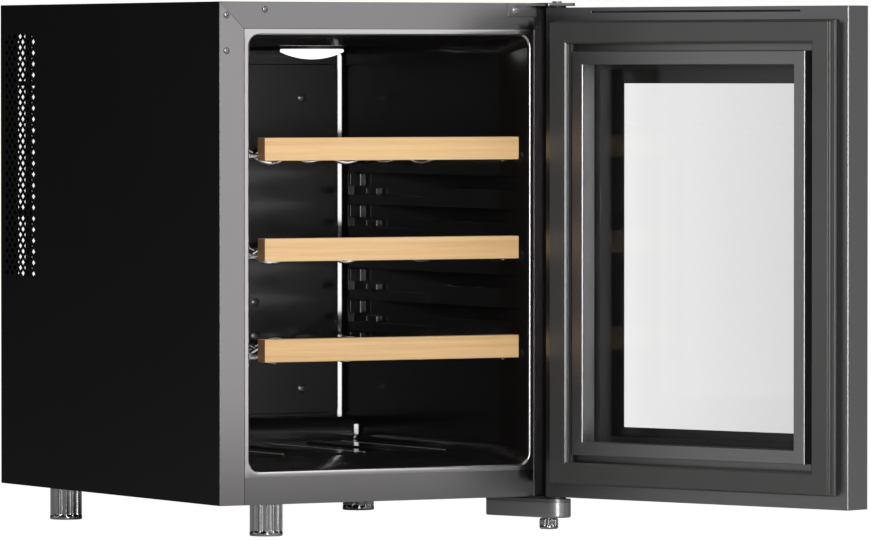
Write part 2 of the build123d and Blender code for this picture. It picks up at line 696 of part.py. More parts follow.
def make_shelf(number, ledge):
    """Save one shelf; its rack is a rod frame with four cross wires welded between the rails."""
    bottom = ledge + FASCIA_OVER_LEDGE - FASCIA_HEIGHT
    centre = ledge + WIRE / 2 + 0.15
    face = FRONT + FASCIA_SETBACK
    back = face + FASCIA_THICK
    left, right = FASCIA_SHIFT - FASCIA_HALF, FASCIA_SHIFT + FASCIA_HALF
    fascia = block(left, right, face, back, bottom, bottom + FASCIA_HEIGHT)
    fascia = fillet(fascia.edges().filter_by(Axis.X), 0.8)
    fascia = fillet(fascia.edges().filter_by(Axis.Z), 0.8)
    bar_y = back + WIRE / 2
    for x in SHELF_SCREWS_X:
        fascia -= rod_z(x, face + FASCIA_THICK / 2, bottom - 1, bottom + 9, 1.6)
    save(f"shelf_{number}_fascia", fascia)

    end = FRONT + RACK_END
    rack = rod_x(bar_y, centre, -RAIL_HALF, RAIL_HALF, WIRE / 2)
    rack += rod_x(end, centre, -RAIL_HALF, RAIL_HALF, WIRE / 2)
    for sign, tab_x in zip((-1, 1), SHELF_SCREWS_X):
        x = sign * RAIL_HALF
        rack += rod_y(x, centre, bar_y, end, WIRE / 2)
        for y in (bar_y, end):
            rack += Pos(x, y, centre) * Sphere(WIRE / 2)
        tab = block(tab_x - 6, tab_x + 6, face + 3, bar_y, bottom - 1.2, bottom)
        tab += block(tab_x - 6, tab_x + 6, back, bar_y, bottom - 1.2, centre)
        rack += tab - rod_z(tab_x, face + FASCIA_THICK / 2, bottom - 2, bottom, 1.7)
    wires = []
    for wire in range(CROSS_WIRES):
        waved = cross_wire(FRONT + CROSS_FIRST + wire * CROSS_PITCH, bottom, centre)
        for sign in (-1, 1):
            waved -= rod_y(sign * RAIL_HALF, centre, bar_y, end, WIRE / 2)
        wires.append(max(waved.solids(), key=lambda solid: solid.volume))
    save(f"shelf_{number}_rack", rack, *wires)

    screw = Rot(90, 0, 0) * pan_screw(3.0, 1.4, 1.6, 9.0)
    places = [(x, face + FASCIA_THICK / 2) for x in SHELF_SCREWS_X]
    save(f"shelf_{number}_screws", *[Pos(x, y, bottom - 1.2) * screw for x, y in places])


# ---- door -----------------------------------------------------------------------
def door_bar(side, *layers):
    """Return one mitred bar; each layer is (outer inset, inner inset, depth, depth)."""
    bar = None
    left, right, low, high = -DOOR_HALF, DOOR_HALF, DOOR_BOTTOM, DOOR_TOP
    for outer, inner, near, far in layers:
        outlines = {
            "bottom": [
                (left + outer, low + outer),
                (right - outer, low + outer),
                (right - inner, low + inner),
                (left + inner, low + inner),
            ],
            "top": [
                (left + outer, high - outer),
                (right - outer, high - outer),
                (right - inner, high - inner),
                (left + inner, high - inner),
            ],
            "free": [
                (left + outer, low + outer),
                (left + outer, high - outer),
                (left + inner, high - inner),
                (left + inner, low + inner),
            ],
            "hinge": [
                (right - outer, low + outer),
                (right - outer, high - outer),
                (right - inner, high - inner),
                (right - inner, low + inner),
            ],
        }
        layer = prism_y(outlines[side], DOOR_BACK - far, DOOR_BACK - near)
        bar = layer if bar is None else bar + layer
    return bar


def door_pane(inset, near, far):
    """Return a rectangular pane of the door."""
    return block(
        -DOOR_HALF + inset,
        DOOR_HALF - inset,
        DOOR_BACK - far,
        DOOR_BACK - near,
        DOOR_BOTTOM + inset,
        DOOR_TOP - inset,
    )


def make_door():
    pane_end = INNER_PANE_DEPTH + INNER_PANE
    glass = DOOR_THICK - OUTER_PANE
    frame_layers = (
        (0, BEAD_INSET - FIT / 2, 0, INNER_PANE_DEPTH),
        (0, PANE_EDGE - FIT, INNER_PANE_DEPTH, pane_end),
        (0, DOOR_FRAME, pane_end, glass),
        (0, BEZEL - FIT / 2, glass, DOOR_THICK),
    )
    bush_radius = PIN_RADIUS + BUSH_WALL
    low_hole = rod_z(PIN_X, PIN_Y, DOOR_BOTTOM, DOOR_BOTTOM + BUSH_LENGTH, bush_radius)
    high_hole = rod_z(PIN_X, PIN_Y, DOOR_TOP - BUSH_LENGTH, DOOR_TOP, bush_radius)
    control_top = DOOR_TOP - BEZEL - 4
    control_pocket = block(
        -CONTROL_WIDTH / 2 - 1,
        CONTROL_WIDTH / 2 + 1,
        DOOR_BACK - glass,
        DOOR_BACK - glass + 9,
        control_top - CONTROL_HEIGHT - 1,
        control_top + 1,
    )
    slot_high = DOOR_TOP - TOP_SLOT_DROP
    top_slot = block(
        -DOOR_HALF + TOP_SLOT_START,
        DOOR_HALF - TOP_SLOT_START,
        DOOR_BACK - TOP_SLOT_DEPTH,
        DOOR_BACK,
        slot_high - TOP_SLOT,
        slot_high,
    )
    for side in ("bottom", "top", "free", "hinge"):
        bar = door_bar(side, *frame_layers)
        bar -= low_hole + high_hole
        if side == "top":
            bar -= control_pocket + top_slot
        name = {"bottom": "door_rail_bottom", "top": "door_rail_top"}.get(side)
        save_door(name or f"door_stile_{side}", bar)

    bead_layer = (BEAD_INSET, BEAD_INSET + BEAD_WIDTH, -BEAD_PROUD, INNER_PANE_DEPTH)
    beads = [door_bar(side, bead_layer) for side in ("bottom", "top", "free", "hinge")]
    save_door("glazing_beads", *beads)

    inner, outer = GASKET_INSET + GASKET_WIDTH, GASKET_INSET
    height = DOOR_GAP - FIT
    gasket_layers = (
        (outer + 1.5, inner - 1.5, -2.5, 0),
        (outer + 4.0, inner - 4.0, -6.0, -2.5),
        (outer + 1.0, inner - 1.0, -8.0, -6.0),
        (outer + 3.5, inner - 2.5, -9.5, -8.0),
        (outer, inner, -height + 1.2, -9.5),
        (outer + 0.8, inner - 3.0, -height, -height + 1.2),
    )
    seals = [door_bar(side, *gasket_layers) for side in ("bottom", "top", "free", "hinge")]
    save_door("door_gasket", *seals)

    save_door("outer_pane", door_pane(BEZEL, glass, DOOR_THICK))
    save_door("inner_pane", door_pane(PANE_EDGE, INNER_PANE_DEPTH, pane_end))
    spacer_inset = DOOR_FRAME + FIT
    spacer = door_pane(spacer_inset, pane_end, glass) - door_pane(
        spacer_inset + SPACER, pane_end, glass
    )
    save_door("glass_spacer", spacer)

    board_y = DOOR_BACK - glass
    board = block(
        -CONTROL_WIDTH / 2,
        CONTROL_WIDTH / 2,
        board_y,
        board_y + 1.6,
        control_top - CONTROL_HEIGHT,
        control_top,
    )
    board += block(-28, 28, board_y + 1.6, board_y + 6.5, control_top - 17, control_top - 4)
    save_door("control_board", board)

    bushes = []
    for z0, z1 in (
        (DOOR_BOTTOM, DOOR_BOTTOM + BUSH_LENGTH),
        (DOOR_TOP - BUSH_LENGTH, DOOR_TOP),
    ):
        bush = rod_z(PIN_X, PIN_Y, z0, z1, bush_radius)
        bushes.append(bush - rod_z(PIN_X, PIN_Y, z0, z1, PIN_RADIUS + RUN))
    save_door("door_hinge_bushes", *bushes)


# ---- hinges and feet ------------------------------------------------------------
def arm_point(along, across):
    """Return an (x, y) point on the lower hinge arm, measured from the pin."""
    turn = radians(ARM_ANGLE)
    x = PIN_X + along * cos(turn) + across * sin(turn)
    y = PIN_Y + along * sin(turn) - across * cos(turn)
    return x, y


def arm_outline(radius, end, z0, z1):
    """Return the arm's plan shape: straight sides and a round nose about the pin."""
    corners = [
        arm_point(0, -radius),
        arm_point(end, -radius),
        arm_point(end, radius),
        arm_point(0, radius),
    ]
    return prism_z(corners, z0, z1) + rod_z(PIN_X, PIN_Y, z0, z1, radius)


def make_hinges():
    plate_low = -SHIM - HINGE_PLATE
    stud_x, stud_y = arm_point(STUD_FROM_PIN, 0)
    screw_places = [arm_point(along, 0) for along in ARM_SCREWS]
    plate = arm_outline(ARM_RADIUS, ARM_LENGTH, plate_low, -SHIM)
    plate -= rod_z(stud_x, stud_y, plate_low, -SHIM, STUD_RADIUS + RUN)
    plate -= rod_z(PIN_X, PIN_Y, plate_low, -SHIM, PIN_RADIUS)
    for x, y in screw_places:
        plate -= rod_z(x, y, plate_low, -SHIM, 2.2)
    save("lower_hinge_plate", plate)

    cover = arm_outline(ARM_RADIUS, ARM_LENGTH, -ARM_BOTTOM, plate_low)
    cover = fillet(cover.faces().sort_by(Axis.Z)[0].edges(), 1.6)
    cover -= arm_outline(
        ARM_RADIUS - ARM_WALL, ARM_LENGTH - ARM_WALL, -ARM_BOTTOM + ARM_WALL, plate_low
    )
    cover -= rod_z(stud_x, stud_y, -ARM_BOTTOM, plate_low, STUD_RADIUS + FIT)
    for x, y in screw_places:
        cover += rod_z(x, y, -ARM_BOTTOM + ARM_WALL, plate_low, 5.0)
        cover -= rod_z(x, y, -ARM_BOTTOM, plate_low, 2.2)
        cover -= rod_z(x, y, -ARM_BOTTOM, -ARM_BOTTOM + 4, 4.2)
    save("lower_hinge_cover", cover)

    shim_front = FRONT + FRAME_FLANGE + 4
    along_front = (shim_front - PIN_Y) / sin(radians(ARM_ANGLE))
    corners = [
        arm_point(along_front, -ARM_RADIUS + 3),
        arm_point(ARM_LENGTH - 3, -ARM_RADIUS + 3),
        arm_point(ARM_LENGTH - 3, ARM_RADIUS - 3),
        arm_point(along_front, ARM_RADIUS - 3),
    ]
    shim = prism_z(corners, -SHIM, 0)
    for x, y in screw_places:
        shim -= rod_z(x, y, -SHIM, 0, 2.2)
    tongue_corners = [
        arm_point(WASHER_RADIUS + FIT, -ARM_RADIUS + 3),
        corners[0],
        corners[3],
        arm_point(WASHER_RADIUS + FIT, ARM_RADIUS - 3),
    ]
    tongue = prism_z(tongue_corners, -SHIM, -FIT)
    tongue -= rod_z(stud_x, stud_y, -SHIM, 0, STUD_RADIUS + FIT)
    save("lower_hinge_shim", shim + tongue)

    nut = Pos(stud_x, stud_y, plate_low - NUT_HEIGHT / 2) * extrude(
        RegularPolygon(7.5, 6), amount=NUT_HEIGHT / 2, both=True
    )
    nut -= rod_z(stud_x, stud_y, plate_low - NUT_HEIGHT, plate_low, STUD_RADIUS + RUN)
    save("levelling_nut", nut)

    lower_pin = rod_z(PIN_X, PIN_Y, plate_low, DOOR_BOTTOM + PIN_REACH, PIN_RADIUS)
    save("lower_hinge_pin", lower_pin)
    plate_top = HEIGHT
    plate_under = HEIGHT - HINGE_PLATE
    upper_pin = rod_z(PIN_X, PIN_Y, DOOR_TOP - PIN_REACH, plate_top, PIN_RADIUS)
    upper_pin += rod_z(PIN_X, PIN_Y, plate_top, plate_top + 1.6, PIN_RADIUS + 1.5)
    save("upper_hinge_pin", upper_pin)

    flange = block(
        RIGHT - UPPER_FLANGE_LENGTH,
        RIGHT - UPPER_FLANGE_IN,
        FRONT - UPPER_FLANGE,
        FRONT,
        HEIGHT - UPPER_FLANGE_DROP,
        HEIGHT,
    )
    arm = block(
        RIGHT - UPPER_PLATE_LEFT,
        RIGHT + UPPER_PLATE_OVER,
        FRONT - UPPER_PLATE_REACH,
        FRONT,
        plate_under,
        plate_top,
    )
    arm = fillet(arm.edges().filter_by(Axis.Z).group_by(Axis.Y)[0], 4)
    bracket = flange + arm
    bracket -= rod_z(PIN_X, PIN_Y, plate_under, plate_top, PIN_RADIUS)
    screw_x, screw_z = RIGHT - HINGE_SCREW_IN, HEIGHT - HINGE_SCREW_DROP
    bracket -= rod_y(screw_x, screw_z, FRONT - UPPER_FLANGE, FRONT, 2.2)
    save("upper_hinge_bracket", bracket)

    washers = []
    for z0, z1 in ((-SHIM, DOOR_BOTTOM - RUN), (DOOR_TOP + RUN, plate_under)):
        ring = rod_z(PIN_X, PIN_Y, z0, z1, WASHER_RADIUS)
        washers.append(ring - rod_z(PIN_X, PIN_Y, z0, z1, PIN_RADIUS))
    save("hinge_washers", *washers)

    screws = [Pos(screw_x, FRONT - UPPER_FLANGE, screw_z) * pan_screw(3.6, 1.8, 2.2, 2.0)]
    upright = Rot(90, 0, 0) * pan_screw(3.8, 1.8, 2.2, ARM_BOTTOM - 4)
    for x, y in screw_places:
        screws.append(Pos(x, y, -ARM_BOTTOM + 4) * upright)
    save("hinge_screws", *screws)

    plug = pan_screw(3.3, 1.4, 1.6, 1.0)
    plug_places = (
        (LEFT + 7.5, HEIGHT - 13.0),
        (LEFT + 7.5, HEIGHT - 47.0),
        (LEFT + HINGE_SCREW_IN, HEIGHT - HINGE_SCREW_DROP),
    )
    plug = plug - rod_y(0, 0, 0, 2, 3)
    save("hinge_hole_plugs", *[Pos(x, FRONT, z) * plug for x, z in plug_places])

    knob_top = -FOOT_HEIGHT + KNOB_HEIGHT
    knob = rod_z(0, 0, -FOOT_HEIGHT, knob_top, KNOB_RADIUS)
    knob = chamfer(knob.edges().sort_by(Axis.Z)[0], 1.6)
    for flute in range(18):
        turn = radians(20 * flute)
        x, y = (KNOB_RADIUS + 0.5) * cos(turn), (KNOB_RADIUS + 0.5) * sin(turn)
        knob -= rod_z(x, y, -FOOT_HEIGHT, knob_top, 1.1)
    knob += rod_z(0, 0, knob_top, -SHIM - 0.3, STUD_RADIUS)
    save("levelling_foot", Pos(stud_x, stud_y, 0) * knob)


def foot_places():
    """Return the (x, y) places of the three pillar feet."""
    front_x, front_y = FRONT_FOOT
    rear_x, rear_y = REAR_FOOT
    return [
        (LEFT + front_x, FRONT + front_y),
        (LEFT + rear_x, BACK - rear_y),
        (RIGHT - rear_x, BACK - rear_y),
    ]


def make_feet():
    foot = rod_z(0, 0, -FOOT_HEIGHT, 0, FOOT_RADIUS)
    foot = chamfer(foot.edges().filter_by(GeomType.CIRCLE), 0.8)
    flute_low = -FOOT_HEIGHT + FOOT_RIM + FLUTE_RADIUS
    for flute in range(FLUTES):
        turn = 2 * pi * flute / FLUTES
        reach = FOOT_RADIUS + FLUTE_RADIUS * 0.45
        x, y = reach * cos(turn), reach * sin(turn)
        foot -= rod_z(x, y, flute_low, -3.0, FLUTE_RADIUS)
        foot -= Pos(x, y, flute_low) * Sphere(FLUTE_RADIUS)
    foot += rod_z(0, 0, 0, PAN + 10, STUD_RADIUS)
    for name, (x, y) in zip(("front_left", "rear_left", "rear_right"), foot_places()):
        save(f"foot_{name}", Pos(x, y, 0) * foot)


make_case()
make_liner()
make_cooling()
make_rear()
make_lamp()
for index in range(SHELVES):
    make_shelf(index + 1, LEDGES[index * SHELF_STEP])
make_door()
make_hinges()
make_feet()
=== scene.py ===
"""Looks of the wine cooler: graphite case and door, gloss liner, beech fronts, plated racks."""

import json
from math import atan2, cos, pi, radians, sin, sqrt, tau

import bmesh
import bpy
from mathutils import Matrix, Vector

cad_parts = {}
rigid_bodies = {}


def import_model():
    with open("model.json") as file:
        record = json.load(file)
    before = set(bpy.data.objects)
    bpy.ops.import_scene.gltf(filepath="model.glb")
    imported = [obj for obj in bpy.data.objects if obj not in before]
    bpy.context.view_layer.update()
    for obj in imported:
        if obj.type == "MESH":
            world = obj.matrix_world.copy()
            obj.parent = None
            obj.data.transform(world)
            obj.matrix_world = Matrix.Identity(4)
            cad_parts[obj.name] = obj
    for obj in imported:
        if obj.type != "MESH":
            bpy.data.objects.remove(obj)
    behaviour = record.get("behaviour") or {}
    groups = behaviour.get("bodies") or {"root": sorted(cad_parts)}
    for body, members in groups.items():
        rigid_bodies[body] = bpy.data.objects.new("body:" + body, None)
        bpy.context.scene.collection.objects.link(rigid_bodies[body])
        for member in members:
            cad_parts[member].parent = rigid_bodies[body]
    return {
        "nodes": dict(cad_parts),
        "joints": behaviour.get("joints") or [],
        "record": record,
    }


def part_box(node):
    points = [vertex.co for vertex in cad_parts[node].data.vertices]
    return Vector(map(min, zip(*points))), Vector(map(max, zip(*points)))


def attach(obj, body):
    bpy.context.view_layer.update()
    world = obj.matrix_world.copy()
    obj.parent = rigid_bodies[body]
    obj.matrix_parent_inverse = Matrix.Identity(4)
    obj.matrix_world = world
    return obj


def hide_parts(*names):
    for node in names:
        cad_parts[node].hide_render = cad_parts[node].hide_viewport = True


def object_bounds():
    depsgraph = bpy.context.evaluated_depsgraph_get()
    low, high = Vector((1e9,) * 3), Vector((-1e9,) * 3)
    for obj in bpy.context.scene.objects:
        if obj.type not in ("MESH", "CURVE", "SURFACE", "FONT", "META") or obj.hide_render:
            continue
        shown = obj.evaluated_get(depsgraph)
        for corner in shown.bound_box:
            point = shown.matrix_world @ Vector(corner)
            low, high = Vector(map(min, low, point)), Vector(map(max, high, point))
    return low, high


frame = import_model()
cad_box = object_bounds()

# ---- places taken from the frame -------------------------------------------------
joint = {each["name"]: each for each in frame["joints"]}
door_pin = Vector(joint["door_hinge"]["pos_m"])
door_open = -radians(joint["door_hinge"]["range_deg"][0])
case_low, case_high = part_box("top_panel")
stile_low, stile_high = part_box("front_stile_left")
FRONT = stile_low.y
LEFT, RIGHT = case_low.x, case_high.x
STILE_WIDTH = stile_high.x - stile_low.x
rail_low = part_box("front_rail_bottom")[1].z
rail_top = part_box("front_rail_top")[0].z
LIP_SIDE, LIP_RAIL, MOUTH_RADIUS = 0.0056, 0.0060, 0.0110
MOUTH_LOW = Vector((stile_high.x + LIP_SIDE, FRONT, rail_low + LIP_RAIL))
MOUTH_HIGH = Vector((-MOUTH_LOW.x, FRONT, rail_top - LIP_RAIL))
panel_low, panel_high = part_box("duct_panel")
WALL = panel_high.x + 0.0053
HUMP_FRONT = panel_high.y - 0.034
DOOR_TURN = (
    Matrix.Translation(door_pin)
    @ Matrix.Rotation(door_open, 4, "Z")
    @ Matrix.Translation(-door_pin)
)


def shut_box(*nodes):
    """Return the corners of door nodes with the door swung shut."""
    back = DOOR_TURN.inverted()
    points = [back @ v.co for node in nodes for v in frame["nodes"][node].data.vertices]
    low = Vector([min(p[i] for p in points) for i in range(3)])
    high = Vector([max(p[i] for p in points) for i in range(3)])
    return low, high


# ---- node trees ------------------------------------------------------------------
class Number:
    """A number socket of a node tree that Python operators work on."""

    def __init__(self, nodes, socket):
        self.nodes = nodes
        self.socket = socket

    def _math(self, operation, *values):
        node = self.nodes.add("ShaderNodeMath", {"operation": operation}, dict(enumerate(values)))
        return Number(self.nodes, node.outputs[0])

    def __add__(self, other):
        return self._math("ADD", self, other)

    def __sub__(self, other):
        return self._math("SUBTRACT", self, other)

    def __rsub__(self, other):
        return self._math("SUBTRACT", other, self)

    def __mul__(self, other):
        return self._math("MULTIPLY", self, other)

    def __truediv__(self, other):
        return self._math("DIVIDE", self, other)

    __radd__ = __add__
    __rmul__ = __mul__

    def cosine(self):
        return self._math("COSINE", self)

    def sine(self):
        return self._math("SINE", self)

    def size(self):
        return self._math("ABSOLUTE", self)

    def least(self, other):
        return self._math("MINIMUM", self, other)

    def most(self, other):
        return self._math("MAXIMUM", self, other)

    def clamp(self):
        return self.most(0.0).least(1.0)


class NodeTree:
    """A node tree, with the one method that adds its nodes."""

    def add(self, kind, settings=None, sockets=None):
        """Add a node: its settings first, then the values or links of its sockets."""
        node = self.tree.nodes.new(kind)
        for key, value in (settings or {}).items():
            if key == "stops":
                self._set_stops(node.color_ramp.elements, value)
            else:
                setattr(node, key, value)
        for key, value in (sockets or {}).items():
            for each in value if isinstance(value, list) else [value]:
                self.put(node.inputs[key], each)
        return node

    def _set_stops(self, elements, stops):
        while len(elements) < len(stops):
            elements.new(1.0)
        for element, (position, colour) in zip(elements, stops):
            element.position = position
            element.color = (*colour, 1.0)

    def put(self, socket, value):
        """Link a number or an output to a socket, or set the socket's own value."""
        if isinstance(value, Number):
            value = value.socket
        if isinstance(value, bpy.types.NodeSocket):
            self.tree.links.new(value, socket)
        else:
            socket.default_value = value

    def split(self, vector):
        """Return the three numbers of a vector."""
        node = self.add("ShaderNodeSeparateXYZ", {}, {"Vector": vector})
        return [Number(self, output) for output in node.outputs]


class Finish(NodeTree):
    """One procedural material and its Principled shader."""

    def __init__(self, name):
        self.material = bpy.data.materials.new(name)
        self.material.use_nodes = True
        self.tree = self.material.node_tree
        self.shader = self.tree.nodes["Principled BSDF"]
        self.place = self.add("ShaderNodeTexCoord").outputs["Object"]

    def feed(self, **sockets):
        """Feed the Principled shader; underscores in a name stand for spaces."""
        for key, value in sockets.items():
            self.put(self.shader.inputs[key.replace("_", " ")], value)
        return self

    def mapped(self, where=None, **sockets):
        """Return coordinates, the object's own or the given ones, moved or scaled."""
        return self.add("ShaderNodeMapping", {}, {"Vector": where or self.place, **sockets}).outputs[0]

    def noise(self, scale, detail=4.0, rough=0.5, where=None, distortion=0.0):
        sockets = {
            "Vector": where or self.place,
            "Scale": scale,
            "Detail": detail,
            "Roughness": rough,
            "Distortion": distortion,
        }
        return Number(self, self.add("ShaderNodeTexNoise", {}, sockets).outputs["Fac"])

    def streaks(self, across, along, axis, detail, rough):
        """Return fine noise that is drawn out along one axis."""
        scale = [across] * 3
        scale[axis] = along
        return self.noise(1.0, detail, rough, self.mapped(Scale=tuple(scale)))

    def ramp(self, value, *stops):
        return self.add("ShaderNodeValToRGB", {"stops": stops}, {"Fac": value}).outputs["Color"]

    def mix(self, factor, first, second):
        """Return a blend of two colours."""
        node = self.add("ShaderNodeMix", {"data_type": "RGBA"}, {"Factor": factor})
        colours = [socket for socket in node.inputs if socket.type == "RGBA"]
        for socket, colour in zip(colours, (first, second)):
            self.put(socket, (*colour, 1.0) if isinstance(colour, tuple) else colour)
        return next(socket for socket in node.outputs if socket.type == "RGBA")

    def bump(self, height, strength, distance):
        sockets = {"Height": height, "Strength": strength, "Distance": distance}
        return self.feed(Normal=self.add("ShaderNodeBump", {}, sockets).outputs[0])


# ---- finishes --------------------------------------------------------------------
def powder_coat():
    """Satin black powder coat with a fine orange peel."""
    f = Finish("satin_black_powder")
    peel = f.noise(900, 2.0)
    cloud = f.noise(7, 3.0)
    f.feed(
        Base_Color=f.mix(cloud, (0.0042, 0.0041, 0.0042), (0.0056, 0.0054, 0.0055)),
        Roughness=0.40 + cloud * 0.10,
        Specular_IOR_Level=0.15,
    )
    return f.bump(peel, 0.25, 0.00008).material


def graphite(name, tone, rough, grain_axis):
    """Dark metallic lacquer over lightly brushed metal."""
    f = Finish(name)
    brushed = f.streaks(1400.0, 60.0, grain_axis, 3.0, 0.5)
    cloud = f.noise(9, 3.0)
    tint = f.mix(cloud, tuple(0.96 * c for c in tone), tuple(1.04 * c for c in tone))
    f.feed(Base_Color=tint, Roughness=rough - 0.005 + brushed * 0.01, Metallic=1.0)
    return f.bump(brushed, 0.006, 0.00001).material


def gloss_black(name, rough, coat):
    """Gloss black moulded plastic with faint waviness and dust-fine scuffs."""
    f = Finish(name)
    wave = f.noise(14, 2.0)
    scuff = f.noise(240, 5.0, 0.7)
    f.feed(
        Base_Color=f.mix(wave, (0.0090, 0.0080, 0.0075), (0.0115, 0.0104, 0.0098)),
        Roughness=rough + scuff * 0.05,
        Coat_Weight=coat + wave * 0.04,
        Coat_Roughness=0.05,
    )
    return f.bump(wave, 0.05, 0.0005).material


def moulded(name, dark, light, rough, grain=1500):
    """Fine-grained moulded plastic or rubber."""
    f = Finish(name)
    grains = f.noise(grain, 3.0)
    cloud = f.noise(20, 3.0)
    f.feed(Base_Color=f.mix(cloud, dark, light), Roughness=rough - 0.05 + grains * 0.1)
    return f.bump(grains, 0.3, 0.00006).material


def plated(name, tone, rough, streak_axis=2):
    """Bright plating with faint polishing streaks."""
    f = Finish(name)
    streaks = f.streaks(500.0, 30.0, streak_axis, 4.0, 0.6)
    cloud = f.noise(60, 3.0)
    f.feed(
        Base_Color=f.mix(cloud, tuple(0.85 * c for c in tone), tone),
        Metallic=1.0,
        Roughness=rough + streaks * 0.08,
    )
    return f.bump(streaks, 0.08, 0.00002).material


def beech(name, offset):
    """Satin lacquered beech: straight grain along X, short flecks and darker end grain."""
    f = Finish(name)
    where = f.mapped(Location=(offset, 0.0, offset))
    bands = f.noise(1.0, 4.0, 0.5, f.mapped(where, Scale=(2.5, 150.0, 190.0)), 0.3)
    fibre = f.noise(1.0, 6.0, 0.65, f.mapped(where, Scale=(26.0, 900.0, 1100.0)))
    fleck = f.noise(1.0, 2.0, 0.5, f.mapped(where, Scale=(210.0, 1500.0, 1500.0)))
    pores = ((fleck - 0.68) * 8.0).clamp()
    grain = f.ramp(
        bands * 0.62 + fibre * 0.38,
        (0.30, (0.600, 0.360, 0.155)),
        (0.50, (0.750, 0.480, 0.222)),
        (0.72, (0.840, 0.590, 0.315)),
    )
    colour = f.mix(pores * 0.22, grain, (0.48, 0.26, 0.11))
    across = f.split(f.add("ShaderNodeNewGeometry").outputs["Normal"])[0]
    end = ((across * across - 0.5) * 4.0).clamp()
    colour = f.mix(end * 0.78, colour, (0.235, 0.100, 0.034))
    f.feed(Base_Color=colour, Roughness=0.42 + fibre * 0.16)
    f.feed(Coat_Weight=0.10 + bands * 0.08, Coat_Roughness=0.25)
    return f.bump(fibre + pores * -0.6, 0.22, 0.00012).material


def clear_glass():
    """Float glass with painted shade: its film grows darker towards the free edge, and it is glossier at a
    grazing view.
    """
    f = Finish("float_glass_painted_shade")
    cloud = f.noise(3.0, 1.0)
    graze = Number(f, f.add("ShaderNodeFresnel", {}, {"IOR": 1.45}).outputs[0])
    x, y, _ = f.split(f.place)
    along = (x - door_pin.x) * -cos(door_open) + (y - door_pin.y) * -sin(door_open)
    # painted shade: the film grows more opaque from the hinge towards the free edge
    painted_shade = 0.001 + (along * 0.30).clamp()
    f.feed(
        Base_Color=f.mix(cloud, (0.20, 0.205, 0.205), (0.24, 0.245, 0.245)),
        Alpha=(graze * 0.3 + painted_shade).clamp(),
        Roughness=0.015 + cloud * 0.01,
        Metallic=1.0,
    )
    return f.material


def opal_lamp():
    """Opal diffuser lit evenly from inside."""
    f = Finish("opal_diffuser")
    cloud = f.noise(30.0, 2.0)
    glow = f.mix(cloud, (1.0, 0.985, 0.96), (1.0, 1.0, 1.0))
    f.feed(Base_Color=glow, Emission_Color=glow, Roughness=0.35 + cloud * 0.05, Emission_Strength=1.15)
    return f.material


def circuit_board():
    """Green solder mask with tinned tracks."""
    f = Finish("solder_mask")
    cells = f.add(
        "ShaderNodeTexVoronoi", {"feature": "DISTANCE_TO_EDGE"}, {"Scale": 260.0, "Vector": f.place}
    )
    track = (Number(f, cells.outputs["Distance"]) * -18.0 + 1.1).clamp()
    f.feed(
        Base_Color=f.mix(track * 0.6, (0.008, 0.075, 0.028), (0.05, 0.22, 0.10)),
        Roughness=0.35 + track * 0.1,
    )
    return f.bump(track, 0.2, 0.0001).material


def foam_finish():
    """Cut polyurethane foam."""
    f = Finish("cut_foam")
    cells = f.noise(400, 4.0, 0.6)
    f.feed(Base_Color=f.mix(cells, (0.62, 0.50, 0.26), (0.80, 0.70, 0.42)), Roughness=0.85 + cells * 0.1)
    return f.bump(cells, 0.5, 0.0004).material


def display_light():
    """Cool white light of the touch display's marks."""
    f = Finish("display_light")
    cloud = f.noise(300, 1.0)
    glow = f.mix(cloud, (0.55, 0.80, 1.0), (0.70, 0.90, 1.0))
    f.feed(Base_Color=glow, Emission_Color=glow, Roughness=0.4 + cloud * 0.05, Emission_Strength=2.0)
    return f.material


CASE = powder_coat()
FRAME_UP = graphite("graphite_upright", (0.208, 0.198, 0.205), 0.18, 2)
# Lighter copy of the frame graphite for the mouth lip: a painted highlight along the opening's edge.
FRAME_LIP_HIGHLIGHT = graphite("graphite_lip_painted_highlight", (0.400, 0.388, 0.395), 0.17, 2)
# Darker copy of the frame graphite for the rails and the upper hinge bracket: painted shade.
FRAME_ACROSS_SHADED = graphite("graphite_across_painted_shade", (0.172, 0.167, 0.170), 0.18, 0)
DOOR_METAL = graphite("graphite_door", (0.240, 0.238, 0.240), 0.32, 2)
BEAD_METAL = graphite("graphite_bead", (0.310, 0.308, 0.311), 0.36, 2)
ARM_METAL = graphite("graphite_arm", (0.420, 0.417, 0.420), 0.34, 0)
SCREW_DARK = plated("black_nickel_screw", (0.42, 0.415, 0.41), 0.38)
FRIT = moulded("printed_black_border", (0.0030, 0.0030, 0.0031), (0.0040, 0.0040, 0.0041), 0.35)
# Light grey satin for thin strips that stand in for edge highlights: painted highlight.
EDGE_HIGHLIGHT = moulded("painted_edge_highlight", (0.82, 0.81, 0.80), (0.92, 0.91, 0.90), 0.35)
LINER = gloss_black("gloss_black_plastic", 0.13, 0.08)
LINER_FILLET = gloss_black("polished_black_fillet", 0.05, 0.45)
BLACK = moulded("black_moulding", (0.010, 0.010, 0.010), (0.018, 0.018, 0.018), 0.5)
NYLON = moulded("black_nylon", (0.02, 0.02, 0.02), (0.03, 0.03, 0.03), 0.45)
SEAL = moulded("magnetic_seal", (0.056, 0.055, 0.054), (0.070, 0.069, 0.068), 0.20)
CERAMIC = moulded("white_ceramic", (0.70, 0.70, 0.67), (0.80, 0.80, 0.77), 0.6, 600)
ALUMINIUM = plated("extruded_aluminium", (0.72, 0.72, 0.73), 0.30)
WIRE = plated("bright_wire", (0.66, 0.66, 0.67), 0.10, 0)
SCREW = plated("nickel_screw", (0.52, 0.51, 0.50), 0.20)
PLUG = plated("graphite_plug", (0.34, 0.33, 0.335), 0.26)
STEEL = plated("dark_zinc_steel", (0.30, 0.295, 0.29), 0.30)
FOOT = plated("dark_bright_plate", (0.46, 0.455, 0.46), 0.13)
BOARD = circuit_board()
FOAM = foam_finish()
GLASS = clear_glass()
LAMP = opal_lamp()
DISPLAY = display_light()


